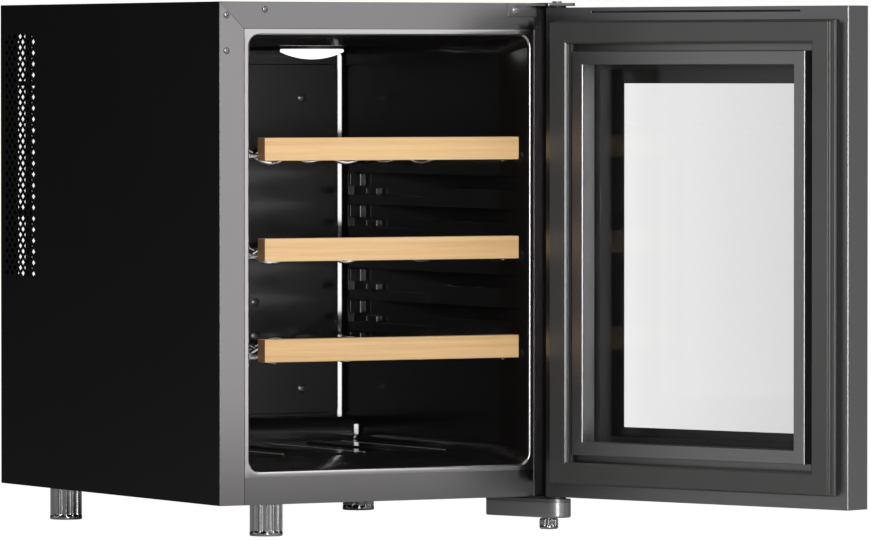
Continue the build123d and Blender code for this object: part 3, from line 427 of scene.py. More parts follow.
# ---- mesh helpers ----------------------------------------------------------------
SAME_PLACE = 2e-6
FLAT, SHALLOW, SHARP = radians(0.6), radians(5.0), radians(28.0)
LARGE_FACE = 2e-4
HEAD_RISE = 0.42


def plain_object(name, mesh):
    thing = bpy.data.objects.new(name, mesh)
    bpy.context.scene.collection.objects.link(thing)
    return thing


def mesh_from(name, points, faces, matrix=None):
    """Return a mesh of outward faces with its doubles merged."""
    mesh = bpy.data.meshes.new(name)
    mesh.from_pydata([tuple(p) for p in points], [], faces)
    work = bmesh.new()
    work.from_mesh(mesh)
    bmesh.ops.remove_doubles(work, verts=work.verts, dist=1e-6)
    bmesh.ops.recalc_face_normals(work, faces=work.faces)
    work.to_mesh(mesh)
    work.free()
    if matrix is not None:
        mesh.transform(matrix)
    return mesh


def finished(thing, material, body, slot, *nodes, smooth=30.0):
    """Apply what is live on a piece, then hand it to its body."""
    depsgraph = bpy.context.evaluated_depsgraph_get()
    mesh = bpy.data.meshes.new_from_object(thing.evaluated_get(depsgraph))
    thing.modifiers.clear()
    thing.data = mesh
    mesh.materials.clear()
    mesh.materials.append(material)
    mesh.polygons.foreach_set("material_index", [0] * len(mesh.polygons))
    if not mesh.has_custom_normals:
        mesh.shade_smooth()
        mesh.set_sharp_from_angle(angle=radians(smooth))
    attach(thing, body)
    if nodes:
        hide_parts(*nodes)
    return thing


def body_holding(node):
    """Return the body that a node is in."""
    bodies = frame["record"]["behaviour"]["bodies"]
    return next(body for body, members in bodies.items() if node in members)


def slot_holding(node):
    """Return a node's material slot."""
    return next(s["material_slot"] for s in frame["record"]["subparts"] if s["node"] == node)


def merged_copy(node):
    """Return a bmesh of a CAD node with its loose triangles merged."""
    work = bmesh.new()
    work.from_mesh(frame["nodes"][node].data)
    bmesh.ops.remove_doubles(work, verts=work.verts, dist=SAME_PLACE)
    return work


def softened(node, name, width, material, straight=None, near=None, segments=3, facet=False):
    """Return a copy of a CAD node with rounded edges.

    With straight, only edges along X or Z get the full width once that matrix has turned
    them, and the rest, such as mitres, a small share of it. With near, the edges that it
    accepts are rounded first, to the width that it gives. With facet, the edges get a flat
    chamfer in place of a round.
    """
    along_axis, share = 0.995, 0.15
    work = merged_copy(node)
    bmesh.ops.dissolve_limit(work, angle_limit=FLAT, verts=work.verts, edges=work.edges)
    if near is not None:
        wide, accepts = near
        chosen = [edge for edge in work.edges if accepts(*(v.co for v in edge.verts))]
        bmesh.ops.bevel(work, geom=chosen, offset=wide, segments=5, profile=0.5, affect="EDGES")
    weight = work.edges.layers.float.new("bevel_weight_edge")
    for edge in work.edges:
        if len(edge.link_faces) != 2:
            continue
        bend = abs(edge.calc_face_angle(0.0))
        if bend < SHARP:
            smallest = min(face.calc_area() for face in edge.link_faces)
            edge.smooth = bend < SHALLOW or smallest < LARGE_FACE
            continue
        edge[weight] = 1.0
        if straight is not None:
            start, end = (straight @ v.co for v in edge.verts)
            span = (end - start).normalized()
            edge[weight] = 1.0 if max(abs(span.x), abs(span.z)) > along_axis else share
    mesh = bpy.data.meshes.new(name)
    work.to_mesh(mesh)
    work.free()
    thing = plain_object(name, mesh)
    bevel = thing.modifiers.new("rounding", "BEVEL")
    bevel.width = width
    bevel.segments = 1 if facet else segments
    bevel.limit_method = "WEIGHT"
    bevel.use_clamp_overlap = near is None
    if not facet:
        level_normals(thing)
    angle = 25.0 if facet else 50.0
    return finished(thing, material, body_holding(node), slot_holding(node), node, smooth=angle)


def level_normals(thing):
    """Keep the shading of large flat faces flat where rounded edges meet them."""
    thing.data.shade_smooth()
    level = thing.modifiers.new("level", "WEIGHTED_NORMAL")
    level.mode = "FACE_AREA"
    level.weight = 100
    level.keep_sharp = True


def paint(material, *nodes):
    """Give carried-over nodes a finish of their own."""
    for node in nodes:
        slots = frame["nodes"][node].data.materials
        slots.clear()
        slots.append(material)


def weave(rows, closed_rows=True, closed_points=True):
    """Return the points of equal rows, and the quads that join each row to the next."""
    count, size = len(rows), len(rows[0])
    faces = []
    for index in range(count if closed_rows else count - 1):
        here, there = index * size, (index + 1) % count * size
        for step in range(size if closed_points else size - 1):
            after = (step + 1) % size
            faces.append((here + step, there + step, there + after, here + after))
    return [point for row in rows for point in row], faces


def prisms(name, ends, matrix=None):
    """Return an object of closed prisms, each between two outlines with as many points."""
    points, faces = [], []
    for near, far in ends:
        base, count = len(points), len(near)
        points += [*near, *far]
        for step in range(count):
            after = (step + 1) % count
            faces.append((base + step, base + after, base + count + after, base + count + step))
        faces += [tuple(range(base, base + count)), tuple(range(base + count, base + 2 * count))]
    return plain_object(name, mesh_from(name, points, faces, matrix))


def upright(x0, x1, z0, z1, y):
    """Return the corners of an upright rectangle."""
    return [(x0, y, z0), (x1, y, z0), (x1, y, z1), (x0, y, z1)]


def swept_ring(name, low, high, profile, y_of, matrix):
    """Return a mitred ring: profile points are (inset, depth), closed, around a rectangle."""
    rows = [
        upright(low.x + inset, high.x - inset, low.z + inset, high.z - inset, y_of(depth))
        for inset, depth in profile
    ]
    return plain_object(name, mesh_from(name, *weave(rows), matrix))


def round_off(thing, width, segments=2):
    """Round every sharp edge of a mesh piece."""
    bevel = thing.modifiers.new("rounding", "BEVEL")
    bevel.width = width
    bevel.segments = segments
    bevel.limit_method = "ANGLE"
    bevel.angle_limit = radians(25.0)
    level_normals(thing)


def lathe(name, profile, centre, steps=72):
    """Return a turned piece about Z from (radius, height) points; its ends lie on the axis."""
    rows = [
        [
            (centre.x + radius * cos(angle), centre.y + radius * sin(angle), centre.z + height)
            for radius, height in profile
        ]
        for angle in (tau * turn / steps for turn in range(steps))
    ]
    return plain_object(name, mesh_from(name, *weave(rows, closed_points=False)))


# ---- geometry node helpers -------------------------------------------------------
class ShapeTree(NodeTree):
    """A geometry node tree with named inputs."""

    def __init__(self, name, **inputs):
        self.tree = bpy.data.node_groups.new(name, "GeometryNodeTree")
        self.ids = {}
        face = self.tree.interface
        face.new_socket("Geometry", in_out="INPUT", socket_type="NodeSocketGeometry")
        for key, kind in inputs.items():
            socket = face.new_socket(
                key.replace("_", " "), in_out="INPUT", socket_type=f"NodeSocket{kind}"
            )
            self.ids[key] = socket.identifier
        face.new_socket("Geometry", in_out="OUTPUT", socket_type="NodeSocketGeometry")
        self.source = self.tree.nodes.new("NodeGroupInput")

    def step(self, kind, settings=None, **sockets):
        """Add a geometry node, with underscores for spaces, and return its first output."""
        named = {key.replace("_", " "): value for key, value in sockets.items()}
        return self.add(f"GeometryNode{kind}", settings, named).outputs[0]

    def values(self, *keys):
        return [Number(self, self.source.outputs[key.replace("_", " ")]) for key in keys]

    def vector(self, x, y, z):
        return self.add("ShaderNodeCombineXYZ", {}, {"X": x, "Y": y, "Z": z}).outputs[0]

    def finish(self, geometry, material):
        """End the tree: real meshes, one material, smooth faces."""
        real = self.step("RealizeInstances", Geometry=geometry)
        smooth = self.step("SetShadeSmooth", Geometry=real)
        dressed = self.step("SetMaterial", Geometry=smooth, Material=material)
        out = self.tree.nodes.new("NodeGroupOutput")
        self.tree.links.new(dressed, out.inputs[0])
        return self

    def on(self, thing, **values):
        """Put the tree on an object with its sizes."""
        modifier = thing.modifiers.new("shape", "NODES")
        modifier.node_group = self.tree
        for key, value in values.items():
            modifier[self.ids[key]] = value
        return thing


def empty_mesh(name):
    return plain_object(name, bpy.data.meshes.new(name))


# ---- repeated pieces -------------------------------------------------------------
def rack_tree():
    """Wire rack: a rounded frame and wavy cross wires that cradle the bottles."""
    sizes = "Half_Width Front Back Height Frame_Radius Cross_Radius Bottle_Pitch Trough Rise First Spacing"
    t = ShapeTree("bottle_rack", **dict.fromkeys(sizes.split(), "Float"), Count="Int")
    bend, ease = 0.006, 0.012
    half, front, back, level, frame_radius, cross_radius, pitch, trough, rise, first, spacing, count = (
        t.values(*sizes.split(), "Count")
    )
    loop = t.step("CurvePrimitiveQuadrilateral", Width=half * 2, Height=back - front)
    bent = t.step("FilletCurve", {"mode": "POLY"}, Curve=loop, Radius=bend, Count=6)
    middle = t.vector(0.0, (front + back) / 2, level)
    placed = t.step("Transform", Geometry=bent, Translation=middle)
    ring = t.step("CurvePrimitiveCircle", Radius=frame_radius, Resolution=14)
    rails = t.step("CurveToMesh", Curve=placed, Profile_Curve=ring)

    ends = {"Start": t.vector(half * -1, 0.0, 0.0), "End": t.vector(half, 0.0, 0.0)}
    line = t.step("CurvePrimitiveLine", **ends)
    fine = t.step("ResampleCurve", Curve=line, Count=121)
    x, y, _ = t.split(t.step("InputPosition"))
    wave = (1.0 - (x * tau / pitch).cosine()) * 0.5
    height = trough + wave * rise
    edge = ((x.size() - (half - ease)) / ease).most(0.0)
    blended = height * (1.0 - edge) + level * edge
    waved = t.step("SetPosition", Geometry=fine, Position=t.vector(x, y, blended))
    thin = t.step("CurvePrimitiveCircle", Radius=cross_radius, Resolution=12)
    wire = t.step("CurveToMesh", Curve=waved, Profile_Curve=thin)

    along = {"Start_Location": t.vector(0.0, first, 0.0), "Offset": t.vector(0.0, spacing, 0.0)}
    spots = t.step("MeshLine", {"mode": "OFFSET"}, Count=count, **along)
    wires = t.step("InstanceOnPoints", Points=spots, Instance=wire)
    return t.finish(t.step("JoinGeometry", Geometry=[rails, wires]), WIRE)


def fluted_tree():
    """A fluted pillar: a grid rolled into a drum, its flutes fading out before both ends."""
    sizes = ("Radius", "Bottom", "Height", "Depth", "Rim", "Edge")
    t = ShapeTree("fluted_pillar", **dict.fromkeys(sizes, "Float"), Flutes="Int")
    low_run, high_run, cut = 0.0016, 0.0012, 0.6
    radius, bottom, height, depth, rim, edge, flutes = t.values(*sizes, "Flutes")
    grid = t.step("MeshGrid", Size_X=1.0, Size_Y=1.0, Vertices_X=225, Vertices_Y=48)
    x, y, _ = t.split(t.step("InputPosition"))
    angle = (x + 0.5) * tau
    lobes = (1.0 - (angle * flutes).cosine()) * 0.5
    ridge = lobes * lobes
    rise = (y + 0.5) * height
    low_fade = ((rise - rim) / low_run).clamp()
    high_fade = ((height - rise) / high_run).clamp()
    groove = (1.0 - ridge) * low_fade * high_fade * depth
    end_gap = rise.least(height - rise)
    corner = (1.0 - (end_gap / edge).least(1.0)) * edge
    reach = radius - groove - corner * cut
    around = t.vector(reach * angle.cosine(), reach * angle.sine(), bottom + rise)
    wall = t.step("SetPosition", Geometry=grid, Position=around)
    shell = [wall]
    for lift, turn in ((bottom, pi), (bottom + height, 0.0)):
        disc = t.step("MeshCircle", {"fill_type": "NGON"}, Vertices=224, Radius=radius - edge * cut)
        place = {"Translation": t.vector(0.0, 0.0, lift), "Rotation": (turn, 0.0, 0.0)}
        shell.append(t.step("Transform", Geometry=disc, **place))
    joined = t.step("JoinGeometry", Geometry=shell)
    closed = t.step("MergeByDistance", Geometry=joined, Distance=0.00004)
    feet = t.step("InstanceOnPoints", Points=t.source.outputs["Geometry"], Instance=closed)
    return t.finish(feet, FOOT)


def screw_master():
    """A domed head with a cross recess, facing +Z, of unit radius."""
    dome = [(0.0, HEAD_RISE), (0.16, HEAD_RISE), (0.34, 0.395), (0.56, 0.34)]
    dome += [(0.76, 0.25), (0.92, 0.12), (1.0, 0.0)]
    slot_half, slot_end, slot_depth, skirt = 0.13, 0.60, 0.24, -0.05
    turns = [tau * turn / 32 for turn in range(32)]
    rows = []
    for radius, height in dome:
        row = []
        for x, y in ((radius * cos(turn), radius * sin(turn)) for turn in turns):
            narrow, far = sorted((abs(x), abs(y)))
            in_cross = narrow < slot_half and far < slot_end and radius < slot_end
            row.append((x, y, height - (slot_depth if in_cross else 0.0)))
        rows.append(row)
    rows.append([(cos(turn), sin(turn), skirt) for turn in turns])
    points, faces = weave(rows, closed_rows=False)
    faces.append(tuple(range(len(points) - len(turns), len(points))))
    return plain_object("screw_master", mesh_from("screw_master", points, faces))


def screw_tree():
    """Screw heads on points, scaled and turned to face one way."""
    t = ShapeTree("screw_heads", Head="Object", Radius="Float", Facing="Vector", Spin="Float")
    size, spin = t.values("Radius", "Spin")
    head = t.add("GeometryNodeObjectInfo", {}, {"Object": t.source.outputs["Head"]})
    aim = t.add(
        "FunctionNodeAlignRotationToVector", {"axis": "Z"}, {"Vector": t.source.outputs["Facing"]}
    )
    twist = t.add("FunctionNodeAxisAngleToRotation", {}, {"Axis": (0, 0, 1), "Angle": spin})
    turned = t.add(
        "FunctionNodeRotateRotation",
        {"rotation_space": "LOCAL"},
        {"Rotation": aim.outputs[0], "Rotate By": twist.outputs[0]},
    )
    seats = {"Points": t.source.outputs["Geometry"], "Instance": head.outputs["Geometry"]}
    sizes = {"Rotation": turned.outputs[0], "Scale": t.vector(size, size, size)}
    return t.finish(t.step("InstanceOnPoints", **seats, **sizes), SCREW)


def points_object(name, places):
    mesh = bpy.data.meshes.new(name)
    mesh.from_pydata([tuple(p) for p in places], [], [])
    return plain_object(name, mesh)


RACK = rack_tree()
PILLAR = fluted_tree()
SCREWS = screw_tree()
HEAD = screw_master()


def solid_boxes(node):
    """Return the corners of each separate solid in a node."""
    work = merged_copy(node)
    left, boxes = set(work.verts), []
    while left:
        island, queue = [], [left.pop()]
        while queue:
            vert = queue.pop()
            island.append(vert.co.copy())
            for edge in vert.link_edges:
                other = edge.other_vert(vert)
                if other in left:
                    left.discard(other)
                    queue.append(other)
        low = Vector([min(p[i] for p in island) for i in range(3)])
        high = Vector([max(p[i] for p in island) for i in range(3)])
        boxes.append((low, high))
    work.free()
    return sorted(boxes, key=lambda pair: tuple(round(c, 5) for c in pair[0]))


def screw_set(name, nodes, facing, radius, material, keep=lambda low, high: True):
    """Put screw heads where a node's screws seat, facing one way."""
    axis = max(range(3), key=lambda i: abs(facing[i]))
    seats = []
    for node in nodes:
        for low, high in solid_boxes(node):
            if not keep(low, high):
                continue
            seat = (low + high) / 2
            outer = high[axis] if facing[axis] > 0 else low[axis]
            seat[axis] = outer - facing[axis] * HEAD_RISE * radius
            seats.append(seat)
    thing = points_object(name, seats)
    SCREWS.on(thing, Head=HEAD, Radius=radius, Facing=facing, Spin=0.5)
    node = nodes[0]
    return finished(thing, material, body_holding(node), slot_holding(node))


# ---- case ------------------------------------------------------------------------
def dress_case():
    paint(CASE, "side_panel_left", "side_panel_right", "top_panel", "base_pan", "rear_cover")
    still = Matrix.Identity(4)
    for side in ("left", "right"):
        softened(f"front_stile_{side}", f"front_stile_{side}_skin", 0.0011, FRAME_UP, still)
    for side in ("top", "bottom"):
        softened(f"front_rail_{side}", f"front_rail_{side}_skin", 0.0011, FRAME_ACROSS_SHADED, still)
    plugs = screw_set("plug_heads", ["hinge_hole_plugs"], (0, -1, 0), 0.0033, PLUG)
    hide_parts("hinge_hole_plugs")
    rear = screw_set("rear_screw_heads", ["rear_screws"], (0, 1, 0), 0.0036, SCREW)
    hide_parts("rear_screws")


def rounded_mouth(low, high, radius, steps=10):
    """Return (inner, way, outer) around the mouth, clockwise seen from the front.

    inner is on the mouth's rounded edge, way points from it into the frame, and outer is
    the point of the frame's square opening beyond it.
    """
    samples = []
    for side, rise in ((1, 1), (1, -1), (-1, -1), (-1, 1)):
        centre_x = (high.x if side > 0 else low.x) - side * radius
        centre_z = (high.z if rise > 0 else low.z) - rise * radius
        corner_x = RIGHT - STILE_WIDTH if side > 0 else LEFT + STILE_WIDTH
        corner_z = rail_top if rise > 0 else rail_low
        reach_x, reach_z = abs(corner_x - centre_x), abs(corner_z - centre_z)
        halfway = atan2(reach_x, reach_z)
        for step in range(steps + 1):
            share = step / steps if side == rise else 1 - step / steps
            if share <= 0.5:
                lean = 2 * share * halfway
            else:
                lean = halfway + (2 * share - 1) * (pi / 2 - halfway)
            way = Vector((side * sin(lean), 0.0, rise * cos(lean)))
            reaches = ((reach_x, abs(way.x)), (reach_z, abs(way.z)))
            grow = min(reach / slope for reach, slope in reaches if slope > 1e-9)
            middle = Vector((centre_x, 0.0, centre_z))
            samples.append((middle + way * radius, way, middle + way * grow))
    return samples


def make_mouth_trim():
    """Add the graphite lip that rolls from the frame's opening into the mouth, toned lighter as a painted
    highlight.
    """
    skin, roll, steps = 0.0003, 0.0023, 6
    outside = roll + skin
    rows = []
    for inner, way, outer in rounded_mouth(MOUTH_LOW, MOUTH_HIGH, MOUTH_RADIUS):
        row = [(outer, -skin), (inner + way * roll, -skin)]
        for step in range(1, steps + 1):
            lean = step / steps * pi / 2
            row.append((inner + way * (roll - outside * sin(lean)), roll - outside * cos(lean)))
        for step in range(steps, -1, -1):
            lean = step / steps * pi / 2
            row.append((inner + way * (roll - roll * sin(lean)), roll - roll * cos(lean)))
        row.append((outer, 0.0))
        rows.append([Vector((p.x, FRONT + depth, p.z)) for p, depth in row])
    trim = plain_object("mouth_trim", mesh_from("mouth_trim", *weave(rows)))
    level_normals(trim)
    finished(trim, FRAME_LIP_HIGHLIGHT, "cabinet", "frame_steel")


def on_mouth(start, end):
    """Say whether an edge lies on the liner's mouth."""
    level = FRONT + 1e-5
    if max(start.y, end.y) > level:
        return False
    inside = 1e-4
    return all(
        MOUTH_LOW.x - inside < p.x < MOUTH_HIGH.x + inside
        and MOUTH_LOW.z - inside < p.z < MOUTH_HIGH.z + inside
        for p in (start, end)
    )


def make_corner_beads():
    """Add the smooth fillets in the upright corners beside the duct panel and the hump."""
    reach, sunk, overlap = 0.0056, 0.0008, 0.0004
    first_lean, turn, facets, facet = 21.2, 0.75, 9, 0.00067
    stretches = (
        (panel_low.y + 0.0020, panel_low.z - 0.003, panel_high.z + 0.012),
        (HUMP_FRONT - 0.0015, rail_low + 0.0165, rail_low + 0.0315),
    )
    ends = []
    for side in (-1, 1):
        for y, low, high in stretches:
            outline = [(WALL - reach, y + sunk)]
            for step in range(facets):
                lean = radians(first_lean + step * turn)
                x, back = outline[-1]
                outline.append((x + facet * cos(lean), back - facet * sin(lean)))
            outline.append((WALL + overlap, y + sunk))
            ends.append([[(side * x, back, z) for x, back in outline] for z in (low, high)])
    beads = prisms("liner_corner_beads", ends)
    finished(beads, LINER_FILLET, "cabinet", "liner_plastic", smooth=20.0)


def make_edge_lines():
    """Add thin light strips along the edges of the floor pads and of the shelf stops, as painted
    highlights.
    """
    pad_pitch, pad_edge, pad_front, pad_back = 0.090, 0.0190, 0.087, 0.066
    pad_lift, pad_line = 0.0162, 0.0007
    top_ledge, ledge_pitch, levels = case_high.z - 0.1499, 0.0321, 7
    upper_stop, lower_stop = (0.038, 0.0008, 0.0113), (0.072, -0.0074, 0.0051)
    stop_width, stop_line, stop_face, sunk = 0.0206, 0.0004, WALL + 0.0012, 0.0001
    bars = []
    for offset in (-pad_pitch, 0.0, pad_pitch):
        edge, z = offset + pad_edge, rail_low + pad_lift
        bars.append((edge, edge + pad_line, FRONT + pad_front, panel_high.y - pad_back, z, z + pad_line))
    for level in range(levels):
        ledge = top_ledge - level * ledge_pitch
        for to_back, lift, tall in (upper_stop, lower_stop):
            start, low = panel_high.y - to_back, ledge + lift
            for edge in (start, start + stop_width):
                for side in (-1, 1):
                    near, far = sorted((side * (stop_face - sunk), side * (stop_face + stop_line)))
                    bars.append((near, far, edge, edge + stop_line, low, low + tall))
    ends = [
        [[(x0, y0, z), (x1, y0, z), (x1, y1, z), (x0, y1, z)] for z in (low, high)]
        for x0, x1, y0, y1, low, high in bars
    ]
    finished(prisms("rubbed_edges", ends), EDGE_HIGHLIGHT, "cabinet", "liner_plastic")


def make_lamp():
    """Add the lamp's domed lens and the black collar that holds it."""
    low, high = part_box("lamp_lens")
    centre = Vector(((low.x + high.x) / 2, (low.y + high.y) / 2, high.z))
    seat = (high.x - low.x) / 2
    radius, collar, rim, corner, draft = seat - 0.0008, 0.0030, 0.0058, 0.0014, 0.0006
    dome = high.z - low.z - rim
    ball = (radius**2 + dome**2) / (2 * dome)
    profile = [(0.0, -collar)]
    for step in range(7):
        lean = step / 6 * pi / 2
        profile.append((radius - corner + corner * sin(lean), -collar - corner + corner * cos(lean)))
    for step in range(1, 17):
        reach = radius * cos(step / 16 * pi / 2)
        profile.append((reach, -rim - dome + ball - sqrt(ball**2 - reach**2)))
    finished(lathe("lamp_dome", profile, centre), LAMP, "cabinet", "lamp_plastic", "lamp_lens")
    ring = [(0.0, 0.0), (seat, 0.0), (seat - draft, -collar), (0.0, -collar)]
    finished(lathe("lamp_collar", ring, centre), BLACK, "cabinet", "black_plastic")


def dress_inside():
    softened("liner", "liner_shell", 0.00045, LINER, near=(0.0023, on_mouth), segments=2)
    make_mouth_trim()
    make_corner_beads()
    make_edge_lines()
    softened("duct_panel", "duct_panel_skin", 0.0005, LINER)
    duct = screw_set("duct_screw_heads", ["duct_screws"], (0, -1, 0), 0.0041, SCREW_DARK)
    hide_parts("duct_screws")
    paint(FOAM, "insulation_foam")
    paint(BOARD, "power_board", "lamp_board")
    make_lamp()


def dress_cooling():
    paint(STEEL, "rear_bulkhead")
    paint(BLACK, "cold_fan_housing", "hot_fan_housing", "cold_fan_rotor", "hot_fan_rotor")
    paint(ALUMINIUM, "cold_sink", "hot_sink")
    paint(CERAMIC, "peltier_module")
    softened("power_inlet", "power_inlet_shell", 0.0005, BLACK)


# ---- shelves ---------------------------------------------------------------------
def dress_shelf(number):
    body = f"shelf_{number}"
    paint(beech(f"beech_{number}", 0.37 * number), f"shelf_{number}_fascia")
    low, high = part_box(f"shelf_{number}_rack")
    face_low, face_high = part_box(f"shelf_{number}_fascia")
    wire, thin, rail_lift, trough_drop, rise = 0.0025, 0.002, 0.00455, 0.0035, 0.0145
    rack = RACK.on(
        empty_mesh(f"shelf_{number}_wires"),
        Half_Width=high.x - wire,
        Front=face_high.y + wire,
        Back=high.y - wire,
        Height=face_low.z + rail_lift,
        Frame_Radius=wire,
        Cross_Radius=thin,
        Bottle_Pitch=0.084,
        Trough=face_low.z - trough_drop,
        Rise=rise,
        First=FRONT + 0.088,
        Spacing=0.075,
        Count=4,
    )
    finished(rack, WIRE, body, "wire_chrome", f"shelf_{number}_rack", smooth=60.0)
    heads = screw_set(f"shelf_{number}_heads", [f"shelf_{number}_screws"], (0, 0, -1), 0.003, SCREW)
    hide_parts(f"shelf_{number}_screws")


# ---- door ------------------------------------------------------------------------
def gasket_profile():
    """Return (inset, depth) points of the seal: root, two folds and a flat magnet strip."""
    root = [(0.0340, 0.0), (0.0340, -0.0018), (0.0305, -0.0034)]
    inner_fold = [(0.0340, -0.0056), (0.0345, -0.0066), (0.0340, -0.0076), (0.0310, -0.0088)]
    crown = [(0.0346, -0.0097), (0.0355, -0.0103), (0.0333, -0.0125), (0.0326, -0.0127)]
    flat = [(0.0157, -0.0127), (0.0151, -0.0126), (0.0149, -0.0121), (0.0149, -0.0114)]
    first_fold = [(0.0185, -0.0103), (0.0153, -0.0091), (0.0147, -0.0081), (0.0153, -0.0070)]
    outer_root = [(0.0185, -0.0054), (0.0134, -0.0036), (0.0126, -0.0022), (0.0132, 0.0)]
    return root + inner_fold + crown + flat + first_fold + outer_root


def dress_door():
    low, high = shut_box("door_stile_hinge", "door_stile_free", "door_rail_top", "door_rail_bottom")
    back_y = high.y

    def y_of(depth):
        return back_y - depth

    shut = DOOR_TURN.inverted()
    for node in ("stile_hinge", "stile_free", "rail_top", "rail_bottom"):
        softened(f"door_{node}", f"door_{node}_skin", 0.0008, DOOR_METAL, shut, facet=True)
    softened("glazing_beads", "glazing_bead_skin", 0.0005, BEAD_METAL, shut, facet=True)
    seal = swept_ring("door_seal", low, high, gasket_profile(), y_of, DOOR_TURN)
    round_off(seal, 0.0004)
    finished(seal, SEAL, "door", "gasket_rubber", "door_gasket")
    paint(GLASS, "outer_pane", "inner_pane")
    paint(BLACK, "glass_spacer", "control_board")
    glass_depth = high.y - low.y - 0.003
    make_border(low, high, glass_depth, y_of)
    make_touch_marks(low, high, glass_depth, y_of)


def make_border(low, high, glass_depth, y_of):
    """Add the black border printed behind the outer pane, a little wider at the hinge."""
    edge, hinge, free, top, bottom = 0.0101, 0.0752, 0.0728, 0.0735, 0.0691
    outer = (low.x + edge, high.x - edge, low.z + edge, high.z - edge)
    inner = (low.x + free, high.x - hinge, low.z + bottom, high.z - top)
    near, far = y_of(glass_depth - 0.0004), y_of(glass_depth - 0.0001)
    rows = [upright(*outer, near), upright(*inner, near), upright(*inner, far), upright(*outer, far)]
    border = plain_object("printed_border", mesh_from("printed_border", *weave(rows), DOOR_TURN))
    finished(border, FRIT, "door", "black_plastic")


def make_touch_marks(low, high, glass_depth, y_of):
    """Add the lit marks of the touch control: minus, plus, three level dots and a lamp dot."""
    centre_x, centre_z = (low.x + high.x) / 2, high.z - 0.025
    near, far = y_of(glass_depth + 0.0003), y_of(glass_depth + 0.0001)
    long, thin, dot, lamp = 0.0035, 0.0005, 0.0010, 0.0026
    outlines = []
    for x, wide, tall in ((-0.045, long, thin), (-0.025, long, thin), (-0.025, thin, long)):
        outlines.append([(x - wide, -tall), (x + wide, -tall), (x + wide, tall), (x - wide, tall)])
    for x, radius in ((-0.007, dot), (0.0, dot), (0.007, dot), (0.030, lamp)):
        turns = [tau * step / 24 for step in range(24)]
        outlines.append([(x + radius * cos(turn), radius * sin(turn)) for turn in turns])
    ends = [
        [[(centre_x + x, y, centre_z + z) for x, z in outline] for y in (near, far)]
        for outline in outlines
    ]
    finished(prisms("touch_marks", ends, DOOR_TURN), DISPLAY, "door", "door_glass")


def dress_hinges():
    softened("upper_hinge_bracket", "upper_hinge_skin", 0.0004, FRAME_ACROSS_SHADED)
    softened("lower_hinge_cover", "lower_hinge_skin", 0.0004, ARM_METAL)
    paint(STEEL, "lower_hinge_plate", "upper_hinge_pin", "lower_hinge_pin")
    paint(NYLON, "hinge_washers", "door_hinge_bushes", "lower_hinge_shim")
    paint(SCREW, "levelling_nut")
    faces_up = screw_set(
        "hinge_screw_front", ["hinge_screws"], (0, -1, 0), 0.0040, SCREW_DARK, lambda low, high: low.z > 0
    )
    screw_set(
        "hinge_screw_under", ["hinge_screws"], (0, 0, -1), 0.0038, SCREW, lambda low, high: low.z < 0
    )
    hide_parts("hinge_screws")


def dress_feet():
    names = ["foot_front_left", "foot_rear_left", "foot_rear_right"]
    corners = [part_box(name) for name in names]
    places = [((low.x + high.x) / 2, (low.y + high.y) / 2, 0.0) for low, high in corners]
    low, high = corners[0]
    feet = PILLAR.on(
        points_object("pillar_feet", places),
        Radius=(high.x - low.x) / 2,
        Bottom=low.z,
        Height=-low.z - 0.0001,
        Flutes=14,
        Depth=0.0016,
        Rim=0.0032,
        Edge=0.0009,
    )
    finished(feet, FOOT, "cabinet", "foot_chrome", *names, smooth=40.0)
    low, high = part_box("levelling_foot")
    centre = Vector(((low.x + high.x) / 2, (low.y + high.y) / 2, 0.0))
    knob_height, overlap = 0.0105, 0.0005
    knob = PILLAR.on(
        points_object("levelling_knob", [centre]),
        Radius=(high.x - low.x) / 2,
        Bottom=low.z,
        Height=knob_height,
        Flutes=18,
        Depth=0.0008,
        Rim=0.0022,
        Edge=0.0016,
    )
    finished(knob, FOOT, "levelling_foot", "foot_chrome", "levelling_foot", smooth=40.0)
    radius, chamfer, foot, tip = 0.004, 0.0005, low.z + knob_height - overlap, high.z
    rod = [(0.0, foot), (radius, foot), (radius, tip - chamfer), (radius - chamfer, tip), (0.0, tip)]
    finished(lathe("levelling_stud", rod, centre), STEEL, "levelling_foot", "foot_chrome")


# ---- studio ----------------------------------------------------------------------
def area_light(name, place, aim, width, height, radiance):
    """Add a soft box of a given radiance that faces a point."""
    lamp = bpy.data.lights.new(name, "AREA")
    lamp.shape = "RECTANGLE"
    lamp.size, lamp.size_y = width, height
    lamp.energy = radiance * pi * width * height
    thing = bpy.data.objects.new(name, lamp)
    bpy.context.scene.collection.objects.link(thing)
    thing.location = place
    thing.rotation_euler = (Vector(aim) - Vector(place)).to_track_quat("-Z", "Y").to_euler()


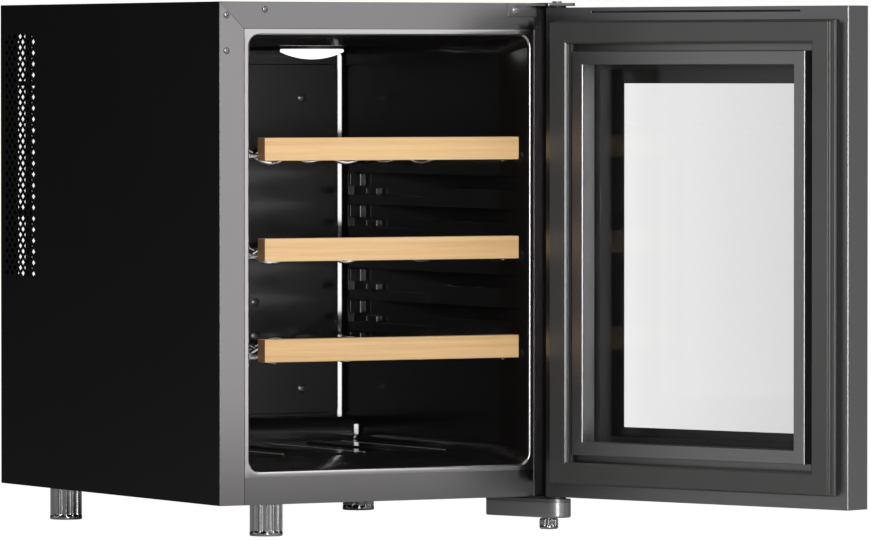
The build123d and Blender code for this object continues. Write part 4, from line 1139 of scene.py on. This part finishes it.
def make_floor():
    """Add a pale floor that the camera sees as white, with a faint contact shade."""
    level = cad_box[0][2] - 0.0002
    half, near, far = 30.0, -1.6, 60.0
    edges = [(-half, near, 0), (half, near, 0), (half, far, 0), (-half, far, 0)]
    mesh = mesh_from("studio_floor", edges, [(0, 1, 2, 3)], Matrix.Translation((0, 0, level)))
    floor = plain_object("studio_floor", mesh)
    pale = Finish("pale_floor")
    cloud = pale.noise(2.0, 1.0)
    pale.feed(Base_Color=pale.mix(cloud, (0.86, 0.86, 0.86), (0.90, 0.90, 0.90)), Roughness=0.9)
    seen = Number(pale, pale.add("ShaderNodeLightPath").outputs["Is Camera Ray"])
    white = pale.add("ShaderNodeEmission", {}, {"Color": (1.0, 1.0, 1.0, 1.0), "Strength": 1.072})
    shaders = {0: seen * 0.93, 1: pale.shader.outputs[0], 2: white.outputs[0]}
    both = pale.add("ShaderNodeMixShader", {}, shaders)
    pale.tree.links.new(both.outputs[0], pale.tree.nodes["Material Output"].inputs["Surface"])
    floor.data.materials.append(pale.material)


def make_studio():
    make_floor()
    world = bpy.data.worlds.new("studio")
    bpy.context.scene.world = world
    world.use_nodes = True
    nodes, links = world.node_tree.nodes, world.node_tree.links
    back = nodes["Background"]
    path = nodes.new("ShaderNodeLightPath")
    tone = nodes.new("ShaderNodeMix")
    tone.data_type = "FLOAT"
    tone.inputs[2].default_value = 0.05
    tone.inputs[3].default_value = 1.0
    links.new(path.outputs["Is Camera Ray"], tone.inputs[0])
    links.new(tone.outputs[0], back.inputs["Strength"])
    back.inputs["Color"].default_value = (1, 1, 1, 1)

    area_light("front_strip", (-1.02, -3.10, 0.60), (0.0, -0.1, 0.25), 0.55, 2.2, 17.0)
    area_light("front_right_box", (0.86, -2.10, 0.45), (-0.05, -0.24, 0.25), 0.8, 1.6, 1.55)
    area_light("high_right_box", (1.47, -2.05, 1.90), (0.0, -0.24, 0.05), 1.0, 0.8, 4.0)
    area_light("left_box", (-2.6, 0.75, 0.5), (0.25, -0.45, 0.25), 1.5, 1.6, 0.66)
    area_light("right_box", (2.4, -1.6, 0.5), (0.25, -0.5, 0.25), 1.6, 2.0, 0.40)
    area_light("top_box", (-0.4, -1.2, 2.2), (0.0, -0.2, 0.2), 1.8, 1.6, 1.2)


def set_tones():
    view = bpy.context.scene.view_settings
    view.view_transform = "Standard"
    view.look = "None"


def make_camera():
    heading, pitch = 29.437, 1.489
    lens = bpy.data.cameras.new("camera")
    lens.sensor_width = 36.0
    lens.lens = 311.6
    lens.clip_end = 100.0
    eye = bpy.data.objects.new("camera", lens)
    bpy.context.scene.collection.objects.link(eye)
    eye.location = (-3.528, -6.575, 0.411)
    eye.rotation_euler = (radians(90 - pitch), 0.0, radians(-heading))
    bpy.context.scene.camera = eye


dress_case()
dress_inside()
dress_cooling()
for shelf in (1, 2, 3):
    dress_shelf(shelf)
dress_door()
dress_hinges()
dress_feet()
bpy.data.objects.remove(HEAD)
make_studio()
set_tones()
make_camera()
